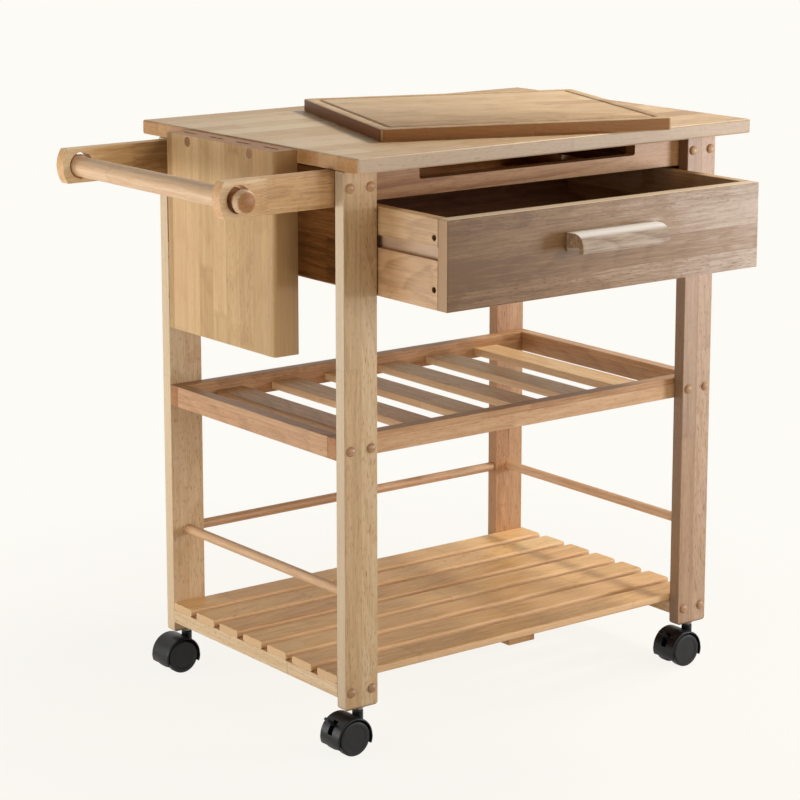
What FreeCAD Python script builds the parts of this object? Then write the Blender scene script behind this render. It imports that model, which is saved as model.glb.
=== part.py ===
"""Kitchen utility cart in solid wood, as a parametric FreeCAD document.

Four flat legs carry an overhanging worktop, a drawer box on wooden runners, a bottle rack, a slatted
shelf with guard dowels, a knife block and a towel holder on the left side, and twin-wheel casters.
Lengths are millimetres. +X runs along the drawer front, +Y from front to back, +Z up. Positions are
written from the front left leg's outer front corner at floor level and moved to the box's middle.
"""
import FreeCAD, Part
import Sketcher
import os
import re

# Driving sizes, one cell each in the sheet
SIZES = {
    # Legs and frame
    "frame_length": 702.0,
    "frame_depth": 472.0,
    "leg_width": 57.5,
    "leg_thickness": 20.5,
    "leg_height": 773.5,
    "leg_foot_round": 5.0,
    "edge_round": 1.5,
    "caster_height": 65.0,
    # Worktop, flush with the legs on the left
    "worktop_length": 742.0,
    "worktop_thickness": 21.5,
    "worktop_front_overhang": 34.0,
    "worktop_back_overhang": 46.0,
    "worktop_round": 3.0,
    # Aprons and back panel
    "rail_thickness": 20.0,
    "apron_height": 47.5,
    "side_apron_height": 158.0,
    "slot_length": 408.0,
    "slot_height": 25.0,
    "slot_round": 4.0,
    "board_rail_web": 16.0,
    "board_rail_ledge": 14.0,
    # Bottle rack
    "rack_bottom": 428.0,
    "rack_rail_height": 32.0,
    "bar_width": 49.0,
    "bar_thickness": 12.0,
    "bar_drop": 15.0,
    "bar_tenon": 7.0,
    # Slatted shelf
    "shelf_bottom": 81.0,
    "shelf_rail_height": 20.0,
    "slat_width": 49.0,
    "slat_thickness": 12.0,
    "batten_width": 50.0,
    "batten_thickness": 12.0,
    "batten_setback": 10.0,
    # Guard dowels
    "dowel_diameter": 15.0,
    "dowel_height": 227.0,
    "dowel_socket": 8.0,
    # Button plugs and screws
    "button_diameter": 14.5,
    "button_dome": 4.5,
    "button_shank": 10.0,
    "button_depth": 6.0,
    "button_inset": 11.0,
    "plug_diameter": 15.0,
    "screw_diameter": 4.5,
    "screw_head": 9.0,
    "screw_head_height": 3.0,
    "screw_length": 30.0,
    # Knife block
    "block_thickness": 41.5,
    "block_front": 109.0,
    "block_back_gap": 45.5,
    "block_height": 292.0,
    "block_top_gap": 2.0,
    "block_round": 6.0,
    "knife_slot_length": 36.0,
    "knife_slot_width": 5.0,
    "knife_slot_depth": 230.0,
    # Towel holder
    "arm_reach": 188.5,
    "arm_height": 51.0,
    "arm_thickness": 19.0,
    "arm_end_radius": 43.0,
    "arm_hole": 39.0,
    "arm_hole_inset": 31.0,
    "towel_rod_diameter": 30.0,
    "knob_diameter": 35.0,
    "knob_length": 36.0,
    "knob_proud": 17.0,
    "knob_round": 5.0,
    "knob_taper": 4.0,
    "rod_seat_gap": 0.3,
    # Cutting board, lying askew on the worktop
    "board_length": 450.0,
    "board_width": 400.0,
    "board_thickness": 18.5,
    "board_left": 129.5,
    "board_front": 88.0,
    "board_turn": -19.3,
    "board_corner": 7.0,
    "board_round": 2.0,
    "groove_inset": 15.0,
    "groove_width": 9.0,
    "groove_depth": 4.0,
    "groove_corner": 10.0,
    # Drawer
    "drawer_height": 126.5,
    "drawer_depth": 425.0,
    "drawer_opening": 154.0,
    "drawer_top_gap": 5.0,
    "drawer_side_gap": 2.0,
    "drawer_front_thickness": 21.0,
    "drawer_side_thickness": 16.0,
    "drawer_box_drop": 14.0,
    "panel_thickness": 5.0,
    "panel_rise": 10.0,
    "panel_tongue": 6.0,
    "runner_drop": 40.0,
    "runner_height": 17.5,
    "runner_reach": 10.0,
    "runner_clearance": 0.3,
    "drawer_screw_inset": 27.5,
    "drawer_screw_recess": 4.0,
    "drawer_screw_length": 30.0,
    "pull_length": 163.0,
    "pull_height": 27.0,
    "pull_projection": 36.0,
    "pull_round": 14.0,
    "pull_above_foot": 62.5,
    "pull_lip": 9.0,
    "recess_height": 7.0,
    "recess_wall": 3.0,
    "recess_round": 3.0,
    # Twin-wheel casters
    "caster_trail": 20.0,
    "caster_width": 46.0,
    "wheel_diameter": 52.0,
    "wheel_round": 4.0,
    "wheel_dish": 38.0,
    "wheel_dish_depth": 1.0,
    "web_thickness": 14.0,
    "web_gap": 0.5,
    "hood_gap": 2.0,
    "hood_wall": 2.5,
    "hood_round": 2.2,
    "boss_diameter": 16.0,
    "boss_top": 61.0,
    "boss_round": 2.0,
    "axle_diameter": 6.0,
    "axle_boss": 14.0,
    "axle_recess": 4.0,
    "stem_diameter": 10.0,
    "stem_reach": 32.0,
    "stem_root": 16.0,
    "collar_diameter": 14.0,
    "collar_gap": 0.4,
    "sleeve_diameter": 14.0,
    "sleeve_depth": 34.0,
    "sleeve_lip": 18.0,
    "sleeve_lip_height": 1.2,
    "running_clearance": 0.05,
    # Brake lever on the front casters
    "lever_pivot_back": 15.0,
    "lever_pivot_rise": 13.5,
    "lever_tilt": 42.0,
    "lever_length": 27.0,
    "lever_width": 9.5,
    "lever_thickness": 4.0,
    "lever_barrel": 8.0,
    "lever_pin": 3.0,
    "lever_pocket_side_gap": 0.5,
    "lever_pocket_above": 7.0,
    "lever_pocket_below": 15.0,
}

BAR_COUNT = 6
SLAT_COUNT = 7
KNIFE_SLOT_STEPS = (-1.5, -0.5, 0.5, 1.5)
BLOCK_PLUG_STEPS = (-1.15, 1.15)
HALF_TURN = 180
FULL_TURN = 360
NEARLY_ZERO = 0.01

# Places and sizes that follow from the driving ones
PLACES = {
    "centre_x": "(worktop_length - arm_reach) / 2",
    "centre_y": "(frame_depth + worktop_back_overhang - drawer_opening - pull_projection) / 2",
    "right_leg": "frame_length - leg_width",
    "back_leg": "frame_depth - leg_thickness",
    "inner_depth": "frame_depth - 2 * leg_thickness",
    "inner_length": "frame_length - 2 * rail_thickness",
    "back_rail": "frame_depth - leg_thickness - rail_thickness",
    "worktop_bottom": "caster_height + leg_height",
    "worktop_top": "worktop_bottom + worktop_thickness",
    "apron_bottom": "worktop_bottom - apron_height",
    "slot_left": "(frame_length - slot_length) / 2",
    "slot_bottom": "worktop_bottom - slot_height",
    "rack_top": "rack_bottom + rack_rail_height",
    "bar_gap": f"(inner_length - {BAR_COUNT} * bar_width) / {BAR_COUNT + 1}",
    "slat_bottom": "shelf_bottom + shelf_rail_height",
    "slat_pitch": f"(inner_depth - slat_width) / {SLAT_COUNT - 1}",
    "dome_radius": "(button_diameter ^ 2 / 4 + button_dome ^ 2) / (2 * button_dome)",
    "block_bottom": "worktop_top - block_top_gap - block_height",
    "block_length": "back_arm - block_back_gap - block_front",
    "knife_slot_pitch": "block_length / 4",
    "block_middle": "block_front + block_length / 2",
    "block_screw_height": "worktop_bottom + worktop_thickness / 2",
    "arm_bottom": "worktop_bottom - arm_height",
    "back_arm": "back_leg - arm_thickness",
    "rod_x": "arm_hole_inset - arm_reach",
    "rod_length": "inner_depth + 2 * knob_proud",
    "rod_height": "arm_bottom + arm_height / 2 - (arm_hole - knob_diameter) / 2 + rod_seat_gap",
    "drawer_left": "leg_width + drawer_side_gap",
    "drawer_length": "frame_length - 2 * drawer_left",
    "drawer_top": "apron_bottom - drawer_top_gap",
    "drawer_foot": "drawer_top - drawer_height",
    "drawer_face": "-drawer_opening",
    "box_front": "drawer_face + drawer_front_thickness",
    "box_length": "drawer_length - 2 * drawer_side_thickness",
    "box_inner_left": "drawer_left + drawer_side_thickness",
    "box_back": "drawer_face + drawer_depth - drawer_side_thickness",
    "box_depth": "box_back - box_front - drawer_side_thickness",
    "side_length": "drawer_depth - drawer_front_thickness",
    "panel_bottom": "drawer_foot + panel_rise",
    "panel_top": "panel_bottom + panel_thickness",
    "groove_bottom": "drawer_top - runner_drop - runner_height - 2 * runner_clearance",
    "groove_cut": "runner_reach - drawer_side_gap + runner_clearance",
    "runner_width": "leg_width - rail_thickness + runner_reach",
    "runner_front": "drawer_front_thickness + runner_clearance",
    "drawer_screw_y": "box_front + drawer_side_thickness / 2",
    "pull_left": "(frame_length - pull_length) / 2",
    "pull_bottom": "drawer_foot + pull_above_foot",
    "axle_height": "wheel_diameter / 2",
    "wheel_width": "caster_width / 2 - web_thickness / 2 - web_gap",
    "cavity_diameter": "wheel_diameter + 2 * hood_gap",
    "hood_diameter": "cavity_diameter + 2 * hood_wall",
    "sleeve_bottom": "caster_height - sleeve_lip_height",
    "collar_top": "sleeve_bottom - collar_gap",
}

DOC = FreeCAD.newDocument("kitchen_cart")
SHEET = DOC.addObject("Spreadsheet::Sheet", "Sizes")
AXIS_TURN = {
    "x": FreeCAD.Rotation(FreeCAD.Vector(0, 1, 0), 90),
    "y": FreeCAD.Rotation(FreeCAD.Vector(1, 0, 0), -90),
    "-y": FreeCAD.Rotation(FreeCAD.Vector(1, 0, 0), 90),
    "z": FreeCAD.Rotation(),
}
AXIS_VECTOR = {
    "x": FreeCAD.Vector(1, 0, 0),
    "y": FreeCAD.Vector(0, 1, 0),
    "z": FreeCAD.Vector(0, 0, 1),
}
NODES = []


def fill_sheet():
    """Writes each driving size as text beside its name and gives the cell that name as its alias."""
    for row, (name, size) in enumerate(SIZES.items(), 1):
        SHEET.set(f"A{row}", name)
        SHEET.set(f"B{row}", str(size))
        SHEET.setAlias(f"B{row}", name)
    DOC.recompute()


def formula(text):
    """Expands derived places and points each driving size at its cell."""

    def expand(match):
        word = match.group(0)
        if word in PLACES:
            return f"({formula(PLACES[word])})"
        return f"Sizes.{word}" if word in SIZES else word

    return re.sub(r"[a-z][a-z0-9_]*", expand, text)


def number(text):
    """The present value of a formula, for what can't hold an expression."""
    return float(SHEET.evalExpression(formula(text)))


def bind(solid, prop, text):
    """Ties a property to a formula over the sheet."""
    solid.setExpression(prop, formula(text))


def place(solid, at, turn=FreeCAD.Rotation()):
    """Puts a solid at three formulas, counted from the front left leg's corner."""
    solid.Placement = FreeCAD.Placement(FreeCAD.Vector(), turn)
    across, along, height = at
    bind(solid, "Placement.Base.x", f"{across} - centre_x")
    bind(solid, "Placement.Base.y", f"{along} - centre_y")
    bind(solid, "Placement.Base.z", height)
    return solid


def point(at):
    """The present place of three formulas as a vector."""
    across, along, height = at
    return FreeCAD.Vector(number(f"{across} - centre_x"), number(f"{along} - centre_y"), number(height))


def box(label, at, size, turn=FreeCAD.Rotation()):
    """A board with its low corner at three formulas and its sizes from three more."""
    solid = DOC.addObject("Part::Box", label)
    for prop, text in zip(("Length", "Width", "Height"), size):
        bind(solid, prop, text)
    return place(solid, at, turn)


def cylinder(label, at, axis, diameter, length):
    """A round piece that starts at a place and runs along one axis."""
    solid = DOC.addObject("Part::Cylinder", label)
    bind(solid, "Radius", f"({diameter}) / 2")
    bind(solid, "Height", length)
    return place(solid, at, AXIS_TURN[axis])


def eased(label, base, radius, keep=lambda edge: True):
    """Rounds those edges of a solid that the test keeps."""
    DOC.recompute()
    round_off = number(radius)
    chosen = [i for i, edge in enumerate(base.Shape.Edges, 1) if keep(edge)]
    fillet = DOC.addObject("Part::Fillet", label)
    fillet.Base = base
    fillet.Edges = [(i, round_off, round_off) for i in chosen]
    return fillet


def along(axis):
    """A test for straight edges that run along one axis."""
    way = AXIS_VECTOR[axis]

    def keep(edge):
        return isinstance(edge.Curve, Part.Line) and abs(edge.Curve.Direction.dot(way)) > 1 - NEARLY_ZERO

    return keep


def low(axis, side):
    """A test for straight edges along an axis that lie at the foot of their solid."""

    def keep(edge):
        return along(axis)(edge) and abs(edge.CenterOfMass.z - number(side)) < NEARLY_ZERO

    return keep


def circles(edge):
    """A test for round edges."""
    return isinstance(edge.Curve, Part.Circle)


def cut(label, base, *tools):
    """A solid with the space of the tools taken out of it."""
    tool = tools[0]
    if len(tools) > 1:
        tool = DOC.addObject("Part::Compound", label + "_tools")
        tool.Links = list(tools)
    result = DOC.addObject("Part::Cut", label)
    result.Base = base
    result.Tool = tool
    return result


def fuse(label, *solids):
    """Several solids made one."""
    result = DOC.addObject("Part::MultiFuse", label)
    result.Shapes = list(solids)
    result.Refine = True
    return result


def group(label, *solids):
    """Separate solids that share one node."""
    result = DOC.addObject("Part::Compound", label)
    result.Links = list(solids)
    return result


def shape_group(label, shapes):
    """Separate like solids, worked out from the sheet, that share one node."""
    result = DOC.addObject("Part::Feature", label)
    result.Shape = Part.makeCompound(shapes)
    return result


def node(solid, label):
    """Names a finished sub-part and keeps it for writing."""
    solid.Label = label
    NODES.append(solid)
    return solid


def sketch_on(body, role, name):
    """A sketch on one of a body's own origin planes."""
    plane = next(p for p in body.Origin.OriginFeatures if p.Role == role)
    sketch = body.newObject("Sketcher::SketchObject", name)
    sketch.AttachmentSupport = [(plane, "")]
    sketch.MapMode = "FlatFace"
    return sketch


def arc_between(start, end, radius):
    """The short arc from one point to another, counterclockwise."""
    chord = end - start
    outward = FreeCAD.Vector(chord.y, -chord.x, 0).normalize()
    reach = (radius ** 2 - chord.Length ** 2 / 4) ** 0.5
    middle = (start + end) / 2 - outward * reach
    return Part.Arc(start, middle + outward * radius, end)


def fix_corner(sketch, geometry, place_on, texts):
    """Ties one corner of an outline to two formulas, or to an axis where a formula is zero."""
    for kind, axis, text in zip(("DistanceX", "DistanceY"), (-2, -1), texts):
        if text == "0":
            sketch.addConstraint(Sketcher.Constraint("PointOnObject", geometry, place_on, axis))
            continue
        index = sketch.addConstraint(
            Sketcher.Constraint(kind, -1, 1, geometry, place_on, number(text)))
        sketch.renameConstraint(index, f"Corner{geometry}{kind}")
        bind(sketch, f"Constraints.Corner{geometry}{kind}", text)


def outline(sketch, corners):
    """Draws a closed outline, counterclockwise.

    Each corner is two formulas and the radius of the arc that leaves it, or None for a straight line.
    A radius with a minus sign bends the arc into the outline.
    """
    points = [FreeCAD.Vector(number(across), number(up), 0) for across, up, _ in corners]
    ends = []
    for start, end, (_, _, radius) in zip(points, points[1:] + points[:1], corners):
        if radius is None:
            sketch.addGeometry(Part.LineSegment(start, end))
            ends.append((1, 2))
        elif number(radius) > 0:
            sketch.addGeometry(arc_between(start, end, number(radius)))
            ends.append((1, 2))
        else:
            sketch.addGeometry(arc_between(end, start, -number(radius)))
            ends.append((2, 1))
    for index, (across, up, radius) in enumerate(corners):
        following = (index + 1) % len(corners)
        sketch.addConstraint(
            Sketcher.Constraint("Coincident", index, ends[index][1], following, ends[following][0]))
        fix_corner(sketch, index, ends[index][0], (across, up))
        if radius is not None:
            bend = sketch.addConstraint(Sketcher.Constraint("Radius", index, abs(number(radius))))
            sketch.renameConstraint(bend, f"Bend{index}")
            bind(sketch, f"Constraints.Bend{index}", f"abs({radius})")


def profile_body(label, role, corners):
    """A body that starts with one outline on one of its own planes."""
    body = DOC.addObject("PartDesign::Body", f"{label}_body")
    sketch = sketch_on(body, role, f"{label}_outline")
    outline(sketch, corners)
    return body, sketch


def padded(label, role, corners, length, at, backwards=False):
    """An outline drawn out to a length."""
    body, sketch = profile_body(label, role, corners)
    pad = body.newObject("PartDesign::Pad", f"{label}_pad")
    pad.Profile = sketch
    pad.Reversed = backwards
    bind(pad, "Length", length)
    body.Tip = pad
    return place(body, at)


def turned(label, corners, at, turn=FreeCAD.Rotation()):
    """An outline of radius and length turned about the Y axis, as on a lathe."""
    body, sketch = profile_body(label, "XY_Plane", corners)
    lathe = body.newObject("PartDesign::Revolution", f"{label}_turning")
    lathe.Profile = sketch
    lathe.ReferenceAxis = (sketch, ["V_Axis"])
    lathe.Angle = FULL_TURN
    body.Tip = lathe
    return place(body, at, turn)


def leg_places():
    """Name, left side, front side and outward direction of each leg."""
    for side, left in (("left", "0"), ("right", "right_leg")):
        yield f"front_{side}", left, "0", -1
        yield f"back_{side}", left, "back_leg", 1


def joint_heights():
    """Middle heights of the three joints on each leg: apron, rack and shelf rail."""
    return (
        "worktop_bottom - apron_height / 2",
        "rack_bottom + rack_rail_height / 2",
        "shelf_bottom + shelf_rail_height / 2",
    )


def fastener_places():
    """Face point and inward direction of each screw and button on the legs."""
    for _, left, front, outward in leg_places():
        face = front if outward < 0 else f"{front} + leg_thickness"
        for height in joint_heights():
            for offset in ("button_inset", "leg_width - button_inset"):
                yield (f"{left} + {offset}", face, height), FreeCAD.Vector(0, -outward, 0)


def block_fastener_places():
    """Face point and inward direction of each screw that holds the knife block."""
    for step in BLOCK_PLUG_STEPS:
        at = ("-block_thickness", f"block_middle + {step} * knife_slot_pitch", "block_screw_height")
        yield at, FreeCAD.Vector(1, 0, 0)


def wood_screw(at, inward, length, sink):
    """A screw with a flat head, sunk below the face point, as plain round steps."""
    seat = point(at) + inward * sink
    head_height = number("screw_head_height")
    head = Part.makeCylinder(number("screw_head") / 2, head_height, seat, inward)
    shank_start = seat + inward * head_height
    shank = Part.makeCylinder(number("screw_diameter") / 2, length, shank_start, inward)
    return head.fuse(shank).removeSplitter()


def button_plug(at, inward):
    """A turned plug: a shank in the hole and a domed head on the face."""
    face = point(at)
    shank = Part.makeCylinder(number("button_shank") / 2, number("button_depth"), face, inward)
    radius = number("dome_radius")
    middle = face + inward * (radius - number("button_dome"))
    ball = Part.makeSphere(radius, middle)
    half_space = Part.makeCylinder(radius, radius * 2, face, inward * -1)
    return ball.common(half_space).fuse(shank).removeSplitter()


def flush_plug(at, inward):
    """A straight plug, level with the face."""
    return Part.makeCylinder(number("plug_diameter") / 2, number("button_depth"), point(at), inward)


def build_fasteners():
    """Buttons, flush plugs and the screws under them."""
    depth = number("button_depth")
    length = number("screw_length")
    leg_points = list(fastener_places())
    block_points = list(block_fastener_places())
    block_reach = number("block_thickness - button_depth - screw_head_height") + length
    screws = [wood_screw(at, way, length, depth) for at, way in leg_points]
    screws += [wood_screw(at, way, block_reach, depth) for at, way in block_points]
    buttons = [button_plug(at, way) for at, way in leg_points]
    plugs = [flush_plug(at, way) for at, way in block_points]
    return (
        node(shape_group("frame_screws", screws), "frame_screws"),
        node(shape_group("button_plugs", buttons), "button_plugs"),
        node(shape_group("block_plugs", plugs), "block_plugs"),
    )


def build_guards():
    """Round guard rails: left and right into the leg faces, back between the back legs."""
    start = "leg_thickness - dowel_socket"
    length = "inner_depth + 2 * dowel_socket"
    guards = []
    for side, left in (("left", "0"), ("right", "right_leg")):
        at = (f"{left} + leg_width / 2", start, "dowel_height")
        label = f"{side}_guard_dowel"
        guards.append(node(cylinder(label, at, "y", "dowel_diameter", length), label))
    at = ("leg_width - dowel_socket", "back_leg + leg_thickness / 2", "dowel_height")
    length = "frame_length - 2 * leg_width + 2 * dowel_socket"
    guards.append(node(cylinder("back_guard_dowel", at, "x", "dowel_diameter", length), "back_guard_dowel"))
    return guards


def build_sleeves():
    """Steel sleeves in the legs' feet that take the caster stems."""
    sleeves = []
    for name, left, front, _ in leg_places():
        middle = (f"{left} + leg_width / 2", f"{front} + leg_thickness / 2")
        tube = cylinder(f"{name}_sleeve_tube", (*middle, "sleeve_bottom"), "z", "sleeve_diameter",
                        "sleeve_lip_height + sleeve_depth")
        lip = cylinder(f"{name}_sleeve_lip", (*middle, "sleeve_bottom"), "z", "sleeve_lip",
                       "sleeve_lip_height")
        bore = cylinder(f"{name}_sleeve_bore", (*middle, "sleeve_bottom"), "z",
                        "stem_diameter + 2 * running_clearance", "sleeve_lip_height + sleeve_depth")
        whole = fuse(f"{name}_sleeve_blank", tube, lip)
        sleeves.append((cut(f"{name}_sleeve", whole, bore), tube))
    node(group("caster_sleeves", *[sleeve for sleeve, _ in sleeves]), "caster_sleeves")
    return [tube for _, tube in sleeves]


def build_legs(screws, buttons, guards, sleeve_tubes):
    """Four flat legs with rounded feet, drilled for what they hold."""
    for (name, left, front, _), tube in zip(leg_places(), sleeve_tubes):
        label = f"leg_{name}"
        size = ("leg_width", "leg_thickness", "leg_height")
        blank = box(f"{label}_blank", (left, front, "caster_height"), size)
        footed = eased(f"{label}_footed", blank, "leg_foot_round", low("y", "caster_height"))
        soft = eased(f"{label}_soft", footed, "edge_round", along("z"))
        node(cut(label, soft, screws, buttons, tube, *guards), label)


def build_worktop(screws):
    """The overhanging top, rounded over on every edge."""
    size = ("worktop_length", "worktop_front_overhang + frame_depth + worktop_back_overhang",
            "worktop_thickness")
    blank = box("worktop_blank", ("0", "-worktop_front_overhang", "worktop_bottom"), size)
    soft = eased("worktop_soft", blank, "worktop_round")
    node(cut("worktop", soft, screws), "worktop")


def build_aprons(screws):
    """The box under the worktop: slotted front apron, deep sides and back panel."""
    size = ("rail_thickness", "inner_depth", "side_apron_height")
    height = "worktop_bottom - side_apron_height"
    for side, left in (("left", "0"), ("right", "frame_length - rail_thickness")):
        blank = box(f"{side}_apron_blank", (left, "leg_thickness", height), size)
        node(cut(f"{side}_apron", blank, screws), f"{side}_apron")
    panel_size = ("inner_length", "rail_thickness", "side_apron_height")
    panel = box("back_panel_blank", ("rail_thickness", "back_rail", height), panel_size)
    node(cut("back_panel", panel, screws), "back_panel")
    apron_size = ("inner_length", "rail_thickness", "apron_height")
    apron = box("front_apron_blank", ("rail_thickness", "leg_thickness", "apron_bottom"), apron_size)
    slot_size = ("slot_length", "rail_thickness", "slot_height")
    slot = box("board_slot_blank", ("slot_left", "leg_thickness", "slot_bottom"), slot_size)
    soft_slot = eased("board_slot", slot, "slot_round", low("y", "slot_bottom"))
    node(cut("front_apron", apron, screws, soft_slot), "front_apron")


def build_board_rails():
    """Rabbeted rails under the worktop that carry the stored cutting board level with the slot."""
    start = "leg_thickness + rail_thickness"
    length = "back_rail - leg_thickness - rail_thickness"
    bottom = "slot_bottom - board_rail_ledge"
    width = "board_rail_web + board_rail_ledge"
    top = "slot_height + board_rail_ledge"
    left_corners = (
        ("0", "0", None),
        (width, "0", None),
        (width, "board_rail_ledge", None),
        ("board_rail_web", "board_rail_ledge", None),
        ("board_rail_web", top, None),
        ("0", top, None),
    )
    right_corners = (
        ("0", "0", None),
        (width, "0", None),
        (width, top, None),
        ("board_rail_ledge", top, None),
        ("board_rail_ledge", "board_rail_ledge", None),
        ("0", "board_rail_ledge", None),
    )
    places = (
        ("left", left_corners, "slot_left - board_rail_web"),
        ("right", right_corners, "slot_left + slot_length - board_rail_ledge"),
    )
    for side, corners, left in places:
        label = f"{side}_board_rail"
        node(padded(label, "XZ_Plane", corners, length, (left, start, bottom), True), label)


def build_rack(screws):
    """The bottle rack: a frame of four rails with bars tenoned into its front and back rails."""
    bars = []
    for index in range(BAR_COUNT):
        left = f"rail_thickness + bar_gap + {index} * (bar_width + bar_gap)"
        at = (left, "leg_thickness + rail_thickness - bar_tenon", "rack_top - bar_drop - bar_thickness")
        size = ("bar_width", "inner_depth - 2 * rail_thickness + 2 * bar_tenon", "bar_thickness")
        bars.append(box(f"rack_bar_{index + 1}", at, size))
    all_bars = node(group("rack_bars", *bars), "rack_bars")
    rail_size = ("frame_length", "rail_thickness", "rack_rail_height")
    for side, front in (("front", "leg_thickness"), ("back", "back_rail")):
        blank = box(f"rack_{side}_rail_blank", ("0", front, "rack_bottom"), rail_size)
        soft = eased(f"rack_{side}_rail_soft", blank, "edge_round", along("x"))
        node(cut(f"rack_{side}_rail", soft, all_bars, screws), f"rack_{side}_rail")
    side_size = ("rail_thickness", "inner_depth - 2 * rail_thickness", "rack_rail_height")
    for side, left in (("left", "0"), ("right", "frame_length - rail_thickness")):
        at = (left, "leg_thickness + rail_thickness", "rack_bottom")
        rail = box(f"rack_{side}_rail_blank", at, side_size)
        node(eased(f"rack_{side}_rail", rail, "edge_round", along("y")), f"rack_{side}_rail")


def build_shelf(screws):
    """The low shelf: flat side rails, slats across them and a batten under the slats."""
    rail_size = ("leg_width", "inner_depth", "shelf_rail_height")
    for side, left in (("left", "0"), ("right", "right_leg")):
        blank = box(f"shelf_{side}_rail_blank", (left, "leg_thickness", "shelf_bottom"), rail_size)
        node(cut(f"shelf_{side}_rail", blank, screws), f"shelf_{side}_rail")
    slats = []
    for index in range(SLAT_COUNT):
        at = ("0", f"leg_thickness + {index} * slat_pitch", "slat_bottom")
        slat = box(f"shelf_slat_{index + 1}_blank", at, ("frame_length", "slat_width", "slat_thickness"))
        slats.append(eased(f"shelf_slat_{index + 1}", slat, "edge_round", along("x")))
    node(group("shelf_slats", *slats), "shelf_slats")
    at = ("(frame_length - batten_width) / 2", "leg_thickness + batten_setback",
          "slat_bottom - batten_thickness")
    size = ("batten_width", "inner_depth - 2 * batten_setback", "batten_thickness")
    node(box("shelf_batten", at, size), "shelf_batten")


def build_knife_block(screws, plugs):
    """The knife block on the left: one solid block with slots cut down from its top."""
    at = ("-block_thickness", "block_front", "block_bottom")
    blank = box("knife_block_blank", at, ("block_thickness", "block_length", "block_height"))

    def outer_upright(edge):
        return along("z")(edge) and edge.CenterOfMass.x < number("-block_thickness / 2 - centre_x")

    soft = eased("knife_block_soft", blank, "block_round", outer_upright)
    slots = []
    for index, step in enumerate(KNIFE_SLOT_STEPS, 1):
        low_corner = (
            "-block_thickness / 2 - knife_slot_width / 2",
            f"block_middle + {step} * knife_slot_pitch - knife_slot_length / 2",
            "block_bottom + block_height - knife_slot_depth",
        )
        slots.append(box(f"knife_slot_{index}", low_corner,
                         ("knife_slot_width", "knife_slot_length", "knife_slot_depth")))
    node(cut("knife_block", soft, screws, plugs, *slots), "knife_block")


def build_towel_holder():
    """Two arms on the left side and the loose turned rod that lies in their holes."""
    sag = "(arm_end_radius - sqrt(arm_end_radius ^ 2 - arm_height ^ 2 / 4))"
    corners = (
        (sag, "0", None),
        ("arm_reach", "0", None),
        ("arm_reach", "arm_height", None),
        (sag, "arm_height", "arm_end_radius"),
    )
    for side, front in (("front", "leg_thickness"), ("back", "back_arm")):
        label = f"towel_arm_{side}"
        at = ("-arm_reach", front, "arm_bottom")
        body = padded(label, "XZ_Plane", corners, "arm_thickness", at, True)
        soft = eased(f"{label}_soft", body, "edge_round", along("x"))
        hole = cylinder(f"{label}_hole", ("rod_x", front, "arm_bottom + arm_height / 2"), "y", "arm_hole",
                        "arm_thickness")
        node(cut(label, soft, hole), label)
    knob = "knob_diameter / 2"
    core = "towel_rod_diameter / 2"
    lathe_corners = (
        ("0", "0", None),
        (f"{knob} - knob_round", "0", "knob_round"),
        (knob, "knob_round", None),
        (knob, "knob_length - knob_taper", None),
        (core, "knob_length", None),
        (core, "rod_length - knob_length", None),
        (knob, "rod_length - knob_length + knob_taper", None),
        (knob, "rod_length - knob_round", "knob_round"),
        (f"{knob} - knob_round", "rod_length", None),
        ("0", "rod_length", None),
    )
    at = ("rod_x", "leg_thickness - knob_proud", "rod_height")
    node(turned("towel_rod", lathe_corners, at), "towel_rod")


def build_cutting_board():
    """The loose cutting board with a juice groove, lying turned on the worktop."""
    turn = FreeCAD.Rotation(AXIS_VECTOR["z"], number("board_turn"))
    at = ("board_left", "board_front", "worktop_top")
    blank = box("cutting_board_blank", at, ("board_length", "board_width", "board_thickness"), turn)
    cornered = eased("cutting_board_cornered", blank, "board_corner", along("z"))

    def rim(edge):
        return edge.BoundBox.ZLength < NEARLY_ZERO

    soft = eased("cutting_board_soft", cornered, "board_round", rim)
    rings = []
    for name, inset in (("outer", "groove_inset"), ("inner", "groove_inset + groove_width")):
        size = (f"board_length - 2 * ({inset})", f"board_width - 2 * ({inset})", "groove_depth")
        slab = DOC.addObject("Part::Box", f"groove_{name}_blank")
        for prop, text in zip(("Length", "Width", "Height"), size):
            bind(slab, prop, text)
        shift = turn.multVec(FreeCAD.Vector(number(inset), number(inset), 0))
        slab.Placement = FreeCAD.Placement(FreeCAD.Vector(), turn)
        bind(slab, "Placement.Base.x", f"board_left + {shift.x} - centre_x")
        bind(slab, "Placement.Base.y", f"board_front + {shift.y} - centre_y")
        bind(slab, "Placement.Base.z", "worktop_top + board_thickness - groove_depth")
        rings.append(eased(f"groove_{name}", slab, "groove_corner", along("z")))
    groove = cut("juice_groove", *rings)
    node(cut("cutting_board", soft, groove), "cutting_board")


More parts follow.
